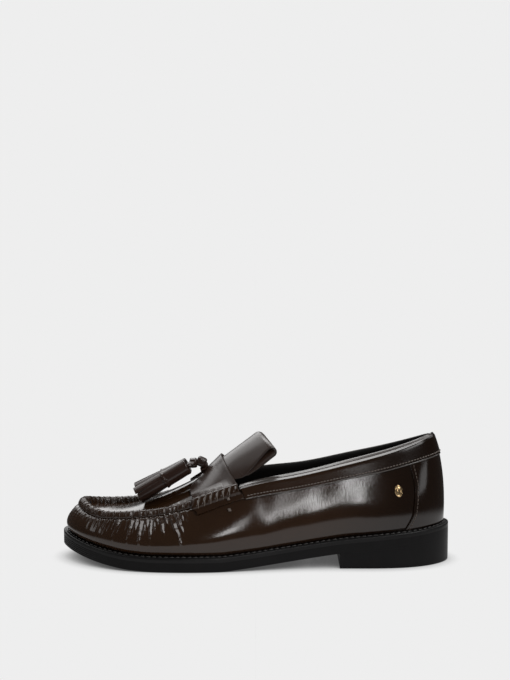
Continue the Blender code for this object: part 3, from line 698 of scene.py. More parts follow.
def mark(piece, name, values):
    """Keeps a number for each point of a piece, for its material to read."""
    layer = piece.data.attributes.new(name, "FLOAT", "POINT")
    layer.data.foreach_set("value", np.ascontiguousarray(values, np.float32).ravel())


def second_material(piece, rows):
    """Gives the chosen rows of a grid's faces to its second material."""
    faces = piece.data.polygons
    faces.foreach_set("material_index", np.repeat(rows, len(faces) // len(rows)).astype(np.int32))


def select(piece):
    """Makes a piece the active one and the only one selected."""
    bpy.ops.object.select_all(action="DESELECT")
    piece.select_set(True)
    bpy.context.view_layer.objects.active = piece


def edit(piece, *steps):
    """Runs operators on all of a piece in edit mode."""
    select(piece)
    bpy.ops.object.mode_set(mode="EDIT")
    bpy.ops.mesh.select_all(action="SELECT")
    for step in steps:
        step()
    bpy.ops.object.mode_set(mode="OBJECT")


def merge():
    bpy.ops.mesh.remove_doubles(threshold=1e-6)


def face_out():
    bpy.ops.mesh.normals_make_consistent(inside=False)


def thicken(piece, thickness, side, inner_slot=0, rim_slot=0, even=True, rounding=0.0):
    """Gives a sheet its thickness, to the outside (1), the inside (-1) or both (0), and rounds its edges."""
    away = sum(p.normal.dot(p.center - Vector(INSIDE)) * p.area for p in piece.data.polygons)
    if side and away < 0:
        edit(piece, bpy.ops.mesh.flip_normals)
    wall = piece.modifiers.new("thickness", "SOLIDIFY")
    wall.thickness = thickness
    wall.offset = side
    wall.use_even_offset = even
    wall.material_offset = inner_slot
    wall.material_offset_rim = rim_slot
    if rounding:
        bevel = piece.modifiers.new("rounded edges", "BEVEL")
        bevel.width = rounding
        bevel.segments = 2
        bevel.limit_method = "ANGLE"
        bevel.angle_limit = math.radians(50)


def finish(piece, slot, *materials, replaces=()):
    """Materials, shading smooth up to a corner, and the CAD body that the piece goes with; the slot is not
    used.
    """
    for material in materials:
        piece.data.materials.append(material)
    select(piece)
    for modifier in list(piece.modifiers):
        bpy.ops.object.modifier_apply(modifier=modifier.name)
    bpy.ops.object.shade_smooth_by_angle(angle=math.radians(SMOOTH_ANGLE))
    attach(piece, "root")
    if replaces:
        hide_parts(*replaces)


def closed_grid(points, name, slot, material, replaces, *steps):
    """A finished solid from rows of points that close on themselves, after any further steps in edit mode."""
    piece = add_grid(points, name)
    edit(piece, merge, *steps, face_out)
    finish(piece, slot, material, replaces=replaces)


def sweep(name, centres, sides, ups, profile, taper=None):
    """Closed bars along paths (paths, points, 3), each with the same outline (corners, 2), in one mesh."""
    paths, length = centres.shape[:2]
    corners = len(profile)
    scale = np.ones(length) if taper is None else taper
    spread = profile * scale[None, :, None, None]
    points = centres[:, :, None] + sides[:, :, None] * spread[..., :1] + ups[:, :, None] * spread[..., 1:]
    faces = []
    ring = np.arange(corners)
    after = (ring + 1) % corners
    for p in range(paths):
        base = p * length * corners
        for k in range(length - 1):
            low, high = base + k * corners, base + (k + 1) * corners
            faces += np.stack((low + ring, low + after, high + after, high + ring), 1).tolist()
        faces.append((base + ring[::-1]).tolist())
        faces.append((base + (length - 1) * corners + ring).tolist())
    mesh = bpy.data.meshes.new(name)
    mesh.from_pydata(points.reshape(-1, 3).tolist(), [], faces)
    piece = bpy.data.objects.new(name, mesh)
    bpy.context.scene.collection.objects.link(piece)
    edit(piece, face_out)
    return piece


def strap_outline(width, thickness, corner=0.35):
    """A flat strip's outline with rounded corners."""
    w, t, c = width / 2, thickness / 2, corner * thickness
    half = np.array(((w, t - c), (w - c, t), (c - w, t), (-w, t - c)))
    return np.concatenate((half, -half))


def threads(name, slot, material, paths, lifts, radius, sides=8):
    """Finished thread along paths, with the surface's outward direction at each point."""
    paths, lifts = np.asarray(paths), np.asarray(lifts)
    along = unit(np.gradient(paths, axis=1))
    side = unit(np.cross(along, lifts))
    turn = np.arange(sides) * 2 * np.pi / sides
    outline = np.stack((np.cos(turn) * radius, np.sin(turn) * radius), -1)
    taper = np.ones(paths.shape[1])
    taper[[0, -1]] = 0.55
    finish(sweep(name, paths, side, unit(np.cross(side, along)), outline, taper), slot, material)


def stitch_rows(name, slot, material, lines, pitch, length, radius, sink=0.0001, rise=0.0003):
    """Short arched stitches along lines, each given by its points and their outward directions."""
    paths, outs = [], []
    bow = np.linspace(-0.5, 0.5, 5)
    arch = rise * (1 - (2 * bow) ** 2) - sink
    for line, outward in lines:
        place = run_length(line)
        spots = np.arange(pitch / 2, place[-1] - length / 2, pitch)[:, None] + bow * length
        out = unit(np.stack([np.interp(spots, place, outward[:, i]) for i in range(3)], -1))
        path = np.stack([np.interp(spots, place, line[:, i]) for i in range(3)], -1)
        paths.append(path + out * arch[:, None])
        outs.append(out)
    threads(name, slot, material, np.concatenate(paths), np.concatenate(outs), radius)


def whip_stitch(rows, middle):
    """A stitch over a roll, given by as many rows as columns of points: its path and outward directions."""
    diagonal = np.arange(len(rows))
    path = rows[diagonal, diagonal]
    return path, unit(path - middle)


# Materials

def node(tree, kind, *entries, **settings):
    """A node. entries fill its inputs in order, and None leaves one alone. settings are its properties, in
    small letters, and then inputs by name. An input takes a value of its own or another node's output."""
    made = tree.nodes.new(kind)
    inputs = list(zip(made.inputs, entries))
    for key, value in settings.items():
        if key[0].islower():
            setattr(made, key, value)
        else:
            inputs.append((made.inputs[key], value))
    for socket, value in inputs:
        if isinstance(value, bpy.types.NodeSocket):
            tree.links.new(value, socket)
        elif value is not None:
            socket.default_value = value
    return made


def noise(tree, place, **settings):
    return node(tree, "ShaderNodeTexNoise", Vector=place, **settings).outputs["Fac"]


def reckon(tree, operation, *entries):
    """The result of a math node."""
    return node(tree, "ShaderNodeMath", *entries, operation=operation).outputs[0]


def ranged(tree, value, *limits, kind="LINEAR"):
    """A value mapped from one range of numbers to another."""
    return node(tree, "ShaderNodeMapRange", value, *limits, interpolation_type=kind).outputs[0]


def blend(tree, share, first, second):
    """A mix of two colours."""
    return node(tree, "ShaderNodeMix", share, *[None] * 5, first, second, data_type="RGBA").outputs[2]


def new_group(name, inputs, outputs):
    """A group whose sockets are numbers, apart from Vector, and what it is given, by name."""
    group = bpy.data.node_groups.new(name, "ShaderNodeTree")
    for way, labels in (("INPUT", inputs), ("OUTPUT", outputs)):
        for label in labels:
            kind = "NodeSocketVector" if label == "Vector" else "NodeSocketFloat"
            group.interface.new_socket(label, in_out=way, socket_type=kind)
    return group, node(group, "NodeGroupInput").outputs


def grain_group():
    """Fine wrinkles and pores of polished leather: height for bump, and a mask for colour and gloss."""
    group, given = new_group("leather_grain", ("Vector", "Wrinkle", "Pore"), ("Height", "Mask"))
    place = given["Vector"]
    upright = node(group, "ShaderNodeVectorMath", place, (1.0, 1.0, 0.35), operation="MULTIPLY").outputs[0]
    waves = noise(group, place, Scale=95.0, Detail=3.0, Roughness=0.5, Distortion=0.6)
    fine = noise(group, upright, Scale=800.0, Detail=3.0, Roughness=0.6, Distortion=0.4)
    pores = node(group, "ShaderNodeTexVoronoi", Vector=place, Scale=1300.0).outputs["Distance"]
    wrinkles = reckon(group, "MULTIPLY_ADD", fine, 0.26, reckon(group, "MULTIPLY", waves, given["Wrinkle"]))
    height = reckon(group, "MULTIPLY_ADD", reckon(group, "MULTIPLY", pores, given["Pore"]), 0.06, wrinkles)
    node(group, "NodeGroupOutput", Height=height, Mask=waves)
    return group


def gather_group():
    """Crumpled wrinkles where leather is gathered into a seam: height for bump, from the piece's own mark."""
    group, given = new_group("gathered_wrinkles", ("Vector", "Gather", "Height"), ("Height",))
    crumple = noise(group, given["Vector"], Scale=480.0, Detail=2.0, Roughness=0.5, Distortion=1.2)
    deep = reckon(group, "MULTIPLY", crumple, given["Gather"])
    node(group, "NodeGroupOutput", Height=reckon(group, "MULTIPLY_ADD", deep, 0.34, given["Height"]))
    return group


GRAIN = grain_group()
GATHERED = gather_group()


def surface(name, dark, light, roughness, spread=0.06, bump=0.30, distance=0.0003, wrinkle=0.16, pore=0.3,
            metallic=0.0, specular=0.5, gathered_and_foot_shaded=False, painted_rear_shade=False):
    """A Principled material with a grain that moves its colour, gloss and normal, and where asked, painted
    shade that darkens its colour toward the heel and along the upper's foot.
    """
    made = bpy.data.materials.new(name)
    made.use_nodes = True
    tree = made.node_tree
    place = node(tree, "ShaderNodeTexCoord").outputs["Object"]
    grain = node(tree, "ShaderNodeGroup", node_tree=GRAIN, Vector=place, Wrinkle=wrinkle, Pore=pore)
    mask, height = grain.outputs["Mask"], grain.outputs["Height"]
    color = blend(tree, mask, (*dark, 1.0), (*light, 1.0))
    gloss = ranged(tree, mask, None, None, roughness - spread, roughness + spread)
    # Painted shade: the colour darkens toward the heel, where less light falls on the shoe's rear
    if painted_rear_shade:
        x = node(tree, "ShaderNodeSeparateXYZ", place).outputs["X"]
        rear = ranged(tree, x, *PAINTED_REAR_SHADE_X, kind="SMOOTHSTEP")
        color = blend(tree, rear, color, (*(PAINTED_REAR_SHADE_SHARE * c for c in dark), 1.0))
    if gathered_and_foot_shaded:
        # Painted shade: a darker colour along the upper's foot, where it turns under above the welt
        foot = node(tree, "ShaderNodeAttribute", attribute_name="foot").outputs["Fac"]
        gather = node(tree, "ShaderNodeAttribute", attribute_name="gather").outputs["Fac"]
        color = blend(tree, foot, color, PAINTED_FOOT_SHADE_COLOR)
        gloss = reckon(tree, "MULTIPLY_ADD", gather, GATHER_DULLS, gloss)
        folds = node(tree, "ShaderNodeGroup", node_tree=GATHERED, Vector=place, Gather=gather, Height=height)
        height = folds.outputs["Height"]
    relief = node(tree, "ShaderNodeBump", Strength=bump, Distance=distance, Height=height).outputs["Normal"]
    shader = tree.nodes["Principled BSDF"]
    for label, value in (("Base Color", color), ("Roughness", gloss), ("Normal", relief)):
        tree.links.new(value, shader.inputs[label])
    shader.inputs["Metallic"].default_value = metallic
    shader.inputs["Specular IOR Level"].default_value = specular
    return made


LEATHER = surface("polished_leather", (0.0190, 0.0086, 0.0040), (0.0255, 0.0123, 0.0058), 0.12, 0.03,
                  distance=0.0004, wrinkle=0.055, gathered_and_foot_shaded=True, painted_rear_shade=True)
BAND_LEATHER = surface("band_leather", (0.0170, 0.0078, 0.0038), (0.0230, 0.0110, 0.0054), 0.18, 0.03,
                       distance=0.0004, specular=0.35, painted_rear_shade=True)
COLLAR_EDGE = surface("collar_edge", (0.0520, 0.0450, 0.0410), (0.0680, 0.0590, 0.0540), 0.16, 0.03, 0.15,
                      specular=0.6)
STRAP_LEATHER = surface("smooth_leather", (0.0230, 0.0125, 0.0085), (0.0290, 0.0160, 0.0110), 0.30, 0.04,
                        bump=0.15, wrinkle=0.05, specular=0.9)
TASSEL_LEATHER = surface("tassel_leather", (0.0200, 0.0100, 0.0070), (0.0280, 0.0150, 0.0110), 0.20, 0.05,
                         bump=0.20, specular=0.40)
LINING = surface("lining_leather", (0.0035, 0.0028, 0.0026), (0.0055, 0.0042, 0.0038), 0.55, bump=0.25)
RUBBER = surface("sole_rubber", (0.0050, 0.0048, 0.0049), (0.0085, 0.0080, 0.0082), 0.42, bump=0.25, pore=0.8,
                 specular=0.09)
WELT_RUBBER = surface("welt_rubber", (0.0050, 0.0048, 0.0049), (0.0085, 0.0080, 0.0082), 0.34, 0.05, 0.20,
                      specular=0.2)
THREAD = surface("dark_thread", (0.040, 0.0270, 0.0200), (0.075, 0.0530, 0.0400), 0.42, distance=0.0002)
BEAD_THREAD = surface("bead_thread", (0.026, 0.0150, 0.0100), (0.050, 0.0320, 0.0230), 0.36, distance=0.0002)
STRAP_THREAD = surface("strap_thread", (0.085, 0.068, 0.057), (0.125, 0.101, 0.086), 0.42, distance=0.0002)
SOLE_THREAD = surface("sole_thread", (0.040, 0.0378, 0.0366), (0.070, 0.0660, 0.0640), 0.50, distance=0.0002)
CUT_EDGE = surface("cut_edge", (0.0120, 0.0070, 0.0052), (0.0200, 0.0120, 0.0090), 0.60, bump=0.40)
STUD_METAL = surface("stud_metal", (0.48, 0.33, 0.17), (0.56, 0.40, 0.22), 0.24, 0.04, bump=0.02,
                     distance=0.0001, metallic=1.0)


# Upper

def around_columns():
    """Places around the shoe, close together along the gathered toe and wider along the quarters."""
    fine = np.linspace(0, COUNT, 8001)
    density = np.interp(fine, *np.array(COLUMN_DENSITY).T)
    total = np.concatenate(([0.0], np.cumsum(density[:-1] * fine[1])))
    return np.interp(np.linspace(0, total[-1], int(total[-1]) + 1), total, fine)


def make_upper():
    """The vamp and quarters in one wall, pleated below the seam, with the rolled bead along it."""
    around = around_columns()
    wall = Wall(np.concatenate((around[-3:-1] - COUNT, around, around[1:3] + COUNT)))
    share_top = 1 - BEAD_OUTER[0][0] / wall.height
    face = np.stack([wall.point(share_top * t) for t in np.linspace(0, 1, FACE_ROWS)[:-1] ** 0.9])
    points = np.concatenate((face, bead_rows(wall)))
    row_past_face = np.arange(len(points))[:, None] - len(face)
    on_face = row_past_face < 4
    below = np.linalg.norm(points - wall.below(SEAM_DROP), axis=-1) * (row_past_face < 3)
    place = np.broadcast_to(seam_place(np.mod(wall.around, COUNT)), below.shape)
    folds = pleats(place, below) * wall.bead * on_face * np.clip(below / FULL_FOLD, 0, 1)
    fallen = wall.rim[:, 2] - points[..., 2]
    climb = np.clip((band_drop(wall.around) + QUARTER_SWELL_REACH - fallen) / QUARTER_SWELL_REACH, 0, 1)
    swell = QUARTER_SWELL * climb**1.5 * (1 - fade(*QUARTER_SWELL_BACK, wall.back))
    relief = folds + (unevenness(points) + swell) * on_face
    points = points + grid_normals(points) * relief[..., None]
    piece = add_grid(points[:, 2:-2], "upper_wall")
    on_fold = CRUMPLED_FOLD * np.clip(folds / FULL_FOLD, 0, 1)
    crumpled = CRUMPLED_SEAM * np.exp(-below / CRUMPLED_REACH) + on_fold
    mark(piece, "gather", (wall.bead * np.where(on_face, crumpled, 1.0))[:, 2:-2])
    # Painted shade: marks the lowest part of the wall, over FOOT_SHADE, to darken its colour where it turns
    # under above the welt
    rise = np.clip((points[..., 2] - wall.foot) / FOOT_SHADE, 0, 1) ** 1.5
    mark(piece, "foot", (1 - rise)[:, 2:-2])
    edit(piece, merge)
    thicken(piece, WALL, -1, inner_slot=1, even=False)
    finish(piece, "upper_leather", LEATHER, LINING, replaces=("upper",))


def make_apron():
    """The apron, dished between its seams at the toe and arched over the instep."""
    back = np.linspace(0.0, 1.0, 120) ** 1.15 * THROAT_BACK
    across = (1 - np.cos(np.linspace(0, np.pi, 56))) / 2
    points = apron_point(back[:, None], across)
    width = np.linalg.norm(points[:, -1] - points[:, 0], axis=-1)[:, None]
    from_seam = np.minimum(across, 1 - across) * width
    scallop = np.cos(2 * np.pi * seam_place(TOE - back)[:, None] / BEAD_PITCH)
    relief = unevenness(points) * 1.5 + APRON_PULL * scallop * np.exp(-from_seam / 0.002)
    piece = add_grid(points + grid_normals(points) * relief[..., None], "apron")
    edit(piece, merge)
    thicken(piece, APRON_THICKNESS, -1, inner_slot=1, even=False)
    finish(piece, "upper_leather", LEATHER, LINING)


def make_bead_stitches():
    """Whip stitches over the bead."""
    last = seam_place(TOE - BEAD_STITCHED_BACK)
    slant = np.linspace(-BEAD_STITCH_SLANT, BEAD_STITCH_SLANT, BEAD_ROWS)
    paths, outs = [], []
    for place in np.arange(math.ceil(last / BEAD_PITCH), math.floor(-last / BEAD_PITCH) + 1) * BEAD_PITCH:
        wall = Wall(seam_around(place + slant))
        path, out = whip_stitch(bead_rows(wall), wall.below(*BEAD_MIDDLE))
        paths.append((path + out * 0.00008)[2:])
        outs.append(out[2:])
    threads("bead_stitches", "upper_leather", BEAD_THREAD, paths, outs, BEAD_STITCH_RADIUS)


# Pieces laid on the upper

def strap_pinch(around):
    """Swell of the strap's ends between their stitches."""
    return 0.20 + 0.80 * np.abs(np.sin(np.pi * seam_place(around) / STRAP_PITCH)) ** 0.35


def strap_points():
    """Points of the strap, in rows from its outer end over the instep to its inner one."""
    count = 2 * STRAP_END_ROWS + STRAP_TOP_ROWS
    along = np.linspace(0, 1, STRAP_COLUMNS)
    share = np.linspace(0, 1, count)
    rows = []
    for i, (front, rear) in enumerate(zip(smooth(STRAP_FRONT, share), smooth(STRAP_REAR, share))):
        back = front + (rear - front) * along
        k = min(i, count - 1 - i)
        wall = Wall(TOE + back * (-1 if i < count / 2 else 1))
        if k < STRAP_FLAP_ROWS:
            drop = STRAP_DROP + (STRAP_OVER_BEAD[0][0] - STRAP_DROP) * k / STRAP_FLAP_ROWS
            rows.append(wall.below(drop, LAID_ON))
        elif k < STRAP_END_ROWS:
            pinch = strap_pinch(wall.around)
            over = through([wall.below(d, o * pinch + LAID_ON) for d, o in STRAP_OVER_BEAD], STRAP_BEAD_ROWS)
            rows.append(over[k - STRAP_FLAP_ROWS])
        else:
            across = 0.08 + 0.84 * (i - STRAP_END_ROWS) / (STRAP_TOP_ROWS - 1)
            rows.append(apron_point(back, across) + apron_normal(back, across) * LAID_ON)
    return np.stack(rows)


def make_strap():
    """The saddle strap, satin on top, with polished lower ends drawn over the beads."""
    points = strap_points()
    piece = add_grid(points, "saddle_strap_leather")
    row = np.arange(len(points) - 1)
    second_material(piece, np.minimum(row, row[::-1]) < STRAP_END_ROWS - 1)
    thicken(piece, STRAP_THICKNESS, 1, even=False, rounding=EDGE_ROUNDING)
    finish(piece, "upper_leather", STRAP_LEATHER, BAND_LEATHER, replaces=("saddle_strap",))


def make_strap_stitches():
    """Thick stitches that hold the strap's lower ends to the beads, and two thread ends on the outer side."""
    paths, outs = [], []
    near, far = (abs(seam_place(TOE - back)) / STRAP_PITCH for back in STRAP_STITCHED_BACK)
    slant = np.linspace(-STRAP_STITCH_SLANT, STRAP_STITCH_SLANT, STITCH_POINTS)
    lift = LAID_ON + STRAP_THICKNESS
    for side in (-1, 1):
        for place in np.arange(math.ceil(near), far) * STRAP_PITCH:
            wall = Wall(seam_around(side * (place + slant)))
            over = [wall.below(d, o * STITCH_STANDS + lift) for d, o in STRAP_OVER_BEAD]
            path, out = whip_stitch(through(over, STITCH_POINTS), wall.below(*STRAP_ROLL_MIDDLE))
            paths.append(path)
            outs.append(out)
    threads("strap_stitches", "upper_leather", STRAP_THREAD, paths, outs, STRAP_STITCH_RADIUS)
    paths, outs = [], []
    bow = np.linspace(-1, 1, STITCH_POINTS)[:, None]
    for x, drop, lift in THREAD_ENDS:
        wall = Wall(np.array([around_of_rim(x)]))
        middle, out = wall.below(drop, lift)[0], wall.normal(1 - drop / wall.height)[0]
        along = unit(np.cross(out, (0.0, 0.0, 1.0)))
        up = np.cross(along, out)
        for turn, reach in THREAD_END_WAYS:
            way = along * math.cos(turn) + up * math.sin(turn)
            paths.append(middle + way * bow * reach + out * 0.0007 * (1 - bow**2))
            outs.append(np.broadcast_to(out, (STITCH_POINTS, 3)))
    threads("thread_ends", "upper_leather", STRAP_THREAD, paths, outs, THREAD_END_RADIUS)


def band_wall(share, count):
    """Sections along the collar from throat to throat, for a line at a share of the band's depth."""
    return Wall((TOE - BAND_FRONT_BACK - BAND_FRONT_SLANT * share) * np.linspace(-1, 1, count))


def make_collar_band():
    """The band along the collar, with piping along its lower edge and a row of stitches above it."""
    rows = []
    for share in np.linspace(1.0, 0.42, 10):
        wall = band_wall(share, BAND_COLUMNS)
        rows.append(wall.below(band_drop(wall.around) * share, LAID_ON + BAND_LEAN * share))
    wall = band_wall(0.2, BAND_COLUMNS)
    size = roll_size(wall.around)
    roll = [wall.below(down * size, LAID_ON + out * size) for down, out in BAND_ROLL]
    rows.extend(through([rows[-1]] + roll, 14)[1:])
    piece = add_grid(np.stack(rows), "collar_band_leather")
    second_material(piece, np.arange(len(rows) - 1) > BAND_LAST_ROW)
    thicken(piece, BAND_THICKNESS, 1, rounding=EDGE_ROUNDING)
    finish(piece, "upper_leather", BAND_LEATHER, COLLAR_EDGE, replaces=("collar_band",))
    wall = band_wall(1.0, 400)
    drop, outer = band_drop(wall.around), LAID_ON + BAND_LEAN + BAND_THICKNESS
    out = wall.normal(1 - drop / wall.height)
    piping = wall.below(drop - 0.0002, outer - 0.0004)
    threads("collar_piping", "upper_leather", COLLAR_EDGE, piping[None], out[None], PIPING_RADIUS, sides=10)
    line = wall.below(drop - 0.0019, outer)
    stitch_rows("collar_stitches", "upper_leather", STRAP_THREAD, [(line, out)], *COLLAR_STITCHES)


def make_collar_binding():
    """The lining's padded edge along the collar's top."""
    wall = band_wall(0.0, 260)
    size = roll_size(wall.around)
    roll = [wall.below(down * size, -WALL + out * size) for down, out in LINING_ROLL]
    roll += [wall.below(down, -WALL + out * size) for down, out in LINING_RUN]
    points = through(roll, 48)
    piece = add_grid(points, "collar_binding")
    second_material(piece, np.arange(len(points) - 1) > BINDING_LAST_ROW)
    thicken(piece, BINDING_THICKNESS, -1)
    finish(piece, "upper_leather", COLLAR_EDGE, LINING)


def make_heel_counter():
    """The panel over the heel's back, with a row of stitches inside its front edges."""
    share = np.linspace(0, 1, 40)
    front = smooth(COUNTER_FRONT, share)
    outer = np.array([around_at_x(x, s * 0.75, 1) for x, s in zip(front, share)])
    inner = np.array([around_at_x(x, s * 0.75, -1) for x, s in zip(front, share)])
    wall = Wall(inner[:, None] + (outer - inner)[:, None] * np.linspace(0, 1, 80))
    top = 1 - (band_drop(wall.around) - COUNTER_TUCK) / wall.height
    level = COUNTER_LOW + (top - COUNTER_LOW) * share[:, None]
    piece = add_grid(wall.point(level) + wall.normal(level) * LAID_ON, "heel_counter_leather")
    thicken(piece, COUNTER_THICKNESS, 1, rounding=EDGE_ROUNDING)
    finish(piece, "upper_leather", LEATHER, replaces=("heel_counter",))
    lines = []
    for around in (outer - COUNTER_SEAM, inner + COUNTER_SEAM):
        wall = Wall(around)
        top = 1 - band_drop(wall.around) / wall.height
        level = COUNTER_LOW + (top - COUNTER_LOW) * share
        out = wall.normal(level)
        lines.append((wall.point(level) + out * (LAID_ON + COUNTER_THICKNESS), out))
    stitch_rows("counter_stitches", "upper_leather", THREAD, lines, *COUNTER_STITCHES)


def make_tongue():
    """The doubled tongue, folded over at its top into a loop."""
    length = np.linalg.norm(TONGUE_TOP - TONGUE_BASE)
    along = unit(TONGUE_TOP - TONGUE_BASE)
    under = np.array((along[2], 0, -along[0]))
    raised = np.linspace(0, 1, 26)
    front = TONGUE_BASE + (TONGUE_TOP - TONGUE_BASE) * raised[:, None]
    turn = np.linspace(0, math.pi, 24)[1:, None]
    fold = TONGUE_TOP + TONGUE_FOLD_RADIUS * (under + along * np.sin(turn) - under * np.cos(turn))
    t = np.linspace(0, 1, 22)[1:, None]
    closing = (2 * TONGUE_FOLD_RADIUS - TONGUE_BACK_DEPTH) * t**1.5
    back = fold[-1] - along * TONGUE_BACK_LENGTH * t - under * closing
    path = np.concatenate((front, fold, back))[:, None, :]
    level = np.concatenate((raised, np.ones(len(fold)), 1 - t[:, 0] * TONGUE_BACK_LENGTH / length))[:, None]
    sag = TONGUE_SAG * (1 - fade(*TONGUE_SAG_START, level)) * fade(*TONGUE_SAG_END, level)
    raised = np.concatenate((raised, np.ones(len(fold) + len(back))))[:, None]
    across = np.linspace(-1, 1, 49)
    top_arch = np.where(across < 0, TONGUE_TOP_OUTER_ARCH, TONGUE_TOP_INNER_ARCH)
    drop = (TONGUE_ARCH + (top_arch - TONGUE_ARCH) * raised) * np.abs(across) ** 2.2 + sag * across**4
    y = np.broadcast_to(across * TONGUE_HALF_WIDTH, drop.shape)
    slide = -TONGUE_SLANT * raised * y
    points = path + under * drop[..., None] + along * slide[..., None] + np.array((0, 1, 0)) * y[..., None]
    piece = add_grid(points, "tongue_leather")
    thicken(piece, TONGUE_THICKNESS, 0, rim_slot=1, rounding=TONGUE_ROUNDING)
    finish(piece, "upper_leather", STRAP_LEATHER, CUT_EDGE, replaces=("tongue",))


# Sole

def pair_rows(places, low, high, outline, bottom=20, top=8):
    """Closed sections across the sole at places from the heel's back to the toe. outline rows are a share of
    the height and how far the edge stands in there."""
    loops = []
    for side in (-1, 1):
        rows = []
        for share, step in outline:
            plan = inset_edge(TOE + side * (TOE - places), step)
            foot = low(plan[:, 0])
            rows.append(over_plan(plan, foot + share * (high(plan[:, 0]) - foot)))
        loops.append(np.stack(rows, 1))
    outer, inner = loops
    t = np.linspace(0, 1, bottom)[1:-1]
    under = outer[:, :1] + (inner[:, :1] - outer[:, :1]) * t[None, :, None]
    under[..., 2] = low(under[..., 0])
    t = np.linspace(0, 1, top)[1:-1]
    over = inner[:, -1:] + (outer[:, -1:] - inner[:, -1:]) * t[None, :, None]
    over[..., 2] = high(over[..., 0])
    loop = np.concatenate((under, inner, over, outer[:, ::-1]), 1)
    return np.concatenate((loop, loop[:, :1]), 1)


def station_places(count):
    """Places from the heel's back to the toe, closer together at both ends."""
    return TOE * (1 - np.cos(np.linspace(0, np.pi, count))) / 2


def make_outsole():
    """The outsole, with fine ribs along its edge at the toe."""
    places = station_places(300)
    x = edge(places)[:, 0]
    outline = []
    for share in np.concatenate(([0.0, 0.05], np.linspace(0.1, 0.94, 26), [0.98, 1.0])):
        step = 0.0009 * max(0.0, 1 - share / 0.1) ** 2 * fade(BREAST_X - 0.001, BREAST_X + 0.001, x)
        ribs = RIB_DEPTH * (0.5 + 0.5 * math.cos(2 * math.pi * share * RIB_COUNT)) * fade(*RIBBED_X, x)
        outline.append((share, step + ribs))
    points = pair_rows(places, underside, outsole_top, outline)
    closed_grid(points, "outsole_rubber", "sole_rubber", RUBBER, ("outsole",))


def make_welt():
    """The welt round the sole, wheeled along its top edge, with its row of stitches."""
    around = np.linspace(0, COUNT, WELT_COLUMNS + 1)
    place = run_length(edge(around))
    notch = 0.5 + 0.5 * np.cos(2 * np.pi * place / (place[-1] / WELT_TEETH))
    rows = []
    for share, step, wheeled in WELT_OUTLINE:
        plan = inset_edge(around, step + 0.00012 * notch * wheeled)
        low, high = outsole_top(plan[:, 0]) + PRESSED, welt_top(plan[:, 0])
        rows.append(over_plan(plan, low + share * (high - low) - 0.00010 * notch * wheeled))
    closed_grid(np.stack(rows), "welt_strip", "sole_rubber", WELT_RUBBER, ("welt",))
    plan = inset_edge(around, WELT_SEAM_INSET)
    line = over_plan(plan, welt_top(plan[:, 0]))
    up = np.broadcast_to((0.0, 0.0, 1.0), line.shape)
    stitch_rows("welt_stitches", "sole_rubber", SOLE_THREAD, [(line, up)], *WELT_STITCHES, sink=0.0002)


def close_breast():
    """Fills the open end of the heel."""
    bpy.ops.mesh.select_all(action="DESELECT")
    bpy.ops.mesh.select_non_manifold(
        extend=False, use_wire=False, use_multi_face=False, use_non_contiguous=False, use_verts=False
    )
    bpy.ops.mesh.edge_face_add()
    bpy.ops.mesh.select_all(action="SELECT")


def make_heel():
    """The heel block, rounded along its foot."""
    places = around_where(BREAST_X, edge) * (1 - np.cos(np.linspace(0, np.pi / 2, 90)))
    points = pair_rows(places, floor_level, heel_top, HEEL_OUTLINE)
    points[..., 0] = np.maximum(points[..., 0], BREAST_X)
    points[-1, :, 0] = BREAST_X
    closed_grid(points, "heel_block", "sole_rubber", RUBBER, ("heel",), close_breast)


def make_insole():
    """The padded insole, rounded along its edge."""
    points = pair_rows(station_places(120), welt_base, insole_top, INSOLE_OUTLINE, 8, 24)
    closed_grid(points, "insole_bed", "lining", LINING, ("insole",))


# Tassels

def tassel_matrix(top, slope, splay):
    tilt = Matrix.Rotation(math.radians(splay), 4, "Z") @ Matrix.Rotation(math.radians(90 - slope), 4, "Y")
    return np.array(Matrix.Translation(top) @ tilt)


def make_tassel(name, top, slope, splay, turn):
    """A wrapped cap over a skirt of cut strips."""
    matrix = tassel_matrix(top, slope, splay)
    tilt, move = matrix[:3, :3].T, matrix[:3, 3]
    rings = through(TASSEL_CAP, 60)
    angle = np.linspace(0, 2 * np.pi, 73)
    lap = 0.00035 * np.clip(1 - np.mod(angle + turn, 2 * np.pi) / 1.2, 0, 1)
    radius = rings[:, :1] + lap * (rings[:, :1] > 0.004)
    heights = np.broadcast_to(rings[:, 1:], radius.shape)
    points = np.stack((radius * np.cos(angle), radius * np.sin(angle), heights), -1)
    closed_grid(points @ tilt + move, name + "_cap", "upper_leather", TASSEL_LEATHER, (name,))
    t = np.linspace(0, 1, 14)
    centres, sides, ups = [], [], []
    for layer, (count, reach) in enumerate(TASSEL_LAYERS):
        for i in range(count):
            phase = 2 * np.pi * (i + 0.5 * layer) / count + TASSEL_FACING
            a = phase + 0.03 * math.sin(7.3 * i + 2 * layer + turn) * t
            flare = 0.0003 * math.sin(4.1 * i + turn) + 0.0002
            r = reach - 0.0010 + (0.0010 + flare) * np.sqrt(t)
            end = -TASSEL_LENGTH + 0.0006 * math.sin(5.7 * i + turn + layer) + 0.0008 * layer
            z = -TASSEL_STRIP_START + (end + TASSEL_STRIP_START) * t
            centres.append(np.stack((r * np.cos(a), r * np.sin(a), z), -1))
            sides.append(np.stack((-np.sin(a), np.cos(a), 0 * a), -1))
            ups.append(np.stack((np.cos(a), np.sin(a), 0 * a), -1))
    outline = strap_outline(*TASSEL_STRIP)
    skirt = sweep(name + "_skirt", centres @ tilt + move, sides @ tilt, ups @ tilt, outline)
    finish(skirt, "upper_leather", TASSEL_LEATHER)


def soft_square(radius):
    """A square outline with round corners."""
    turn = np.arange(28) * 2 * np.pi / 28
    reach = radius / (np.abs(np.cos(turn)) ** 4 + np.abs(np.sin(turn)) ** 4) ** 0.25
    return np.stack((np.cos(turn) * reach, np.sin(turn) * reach * 0.94), -1)


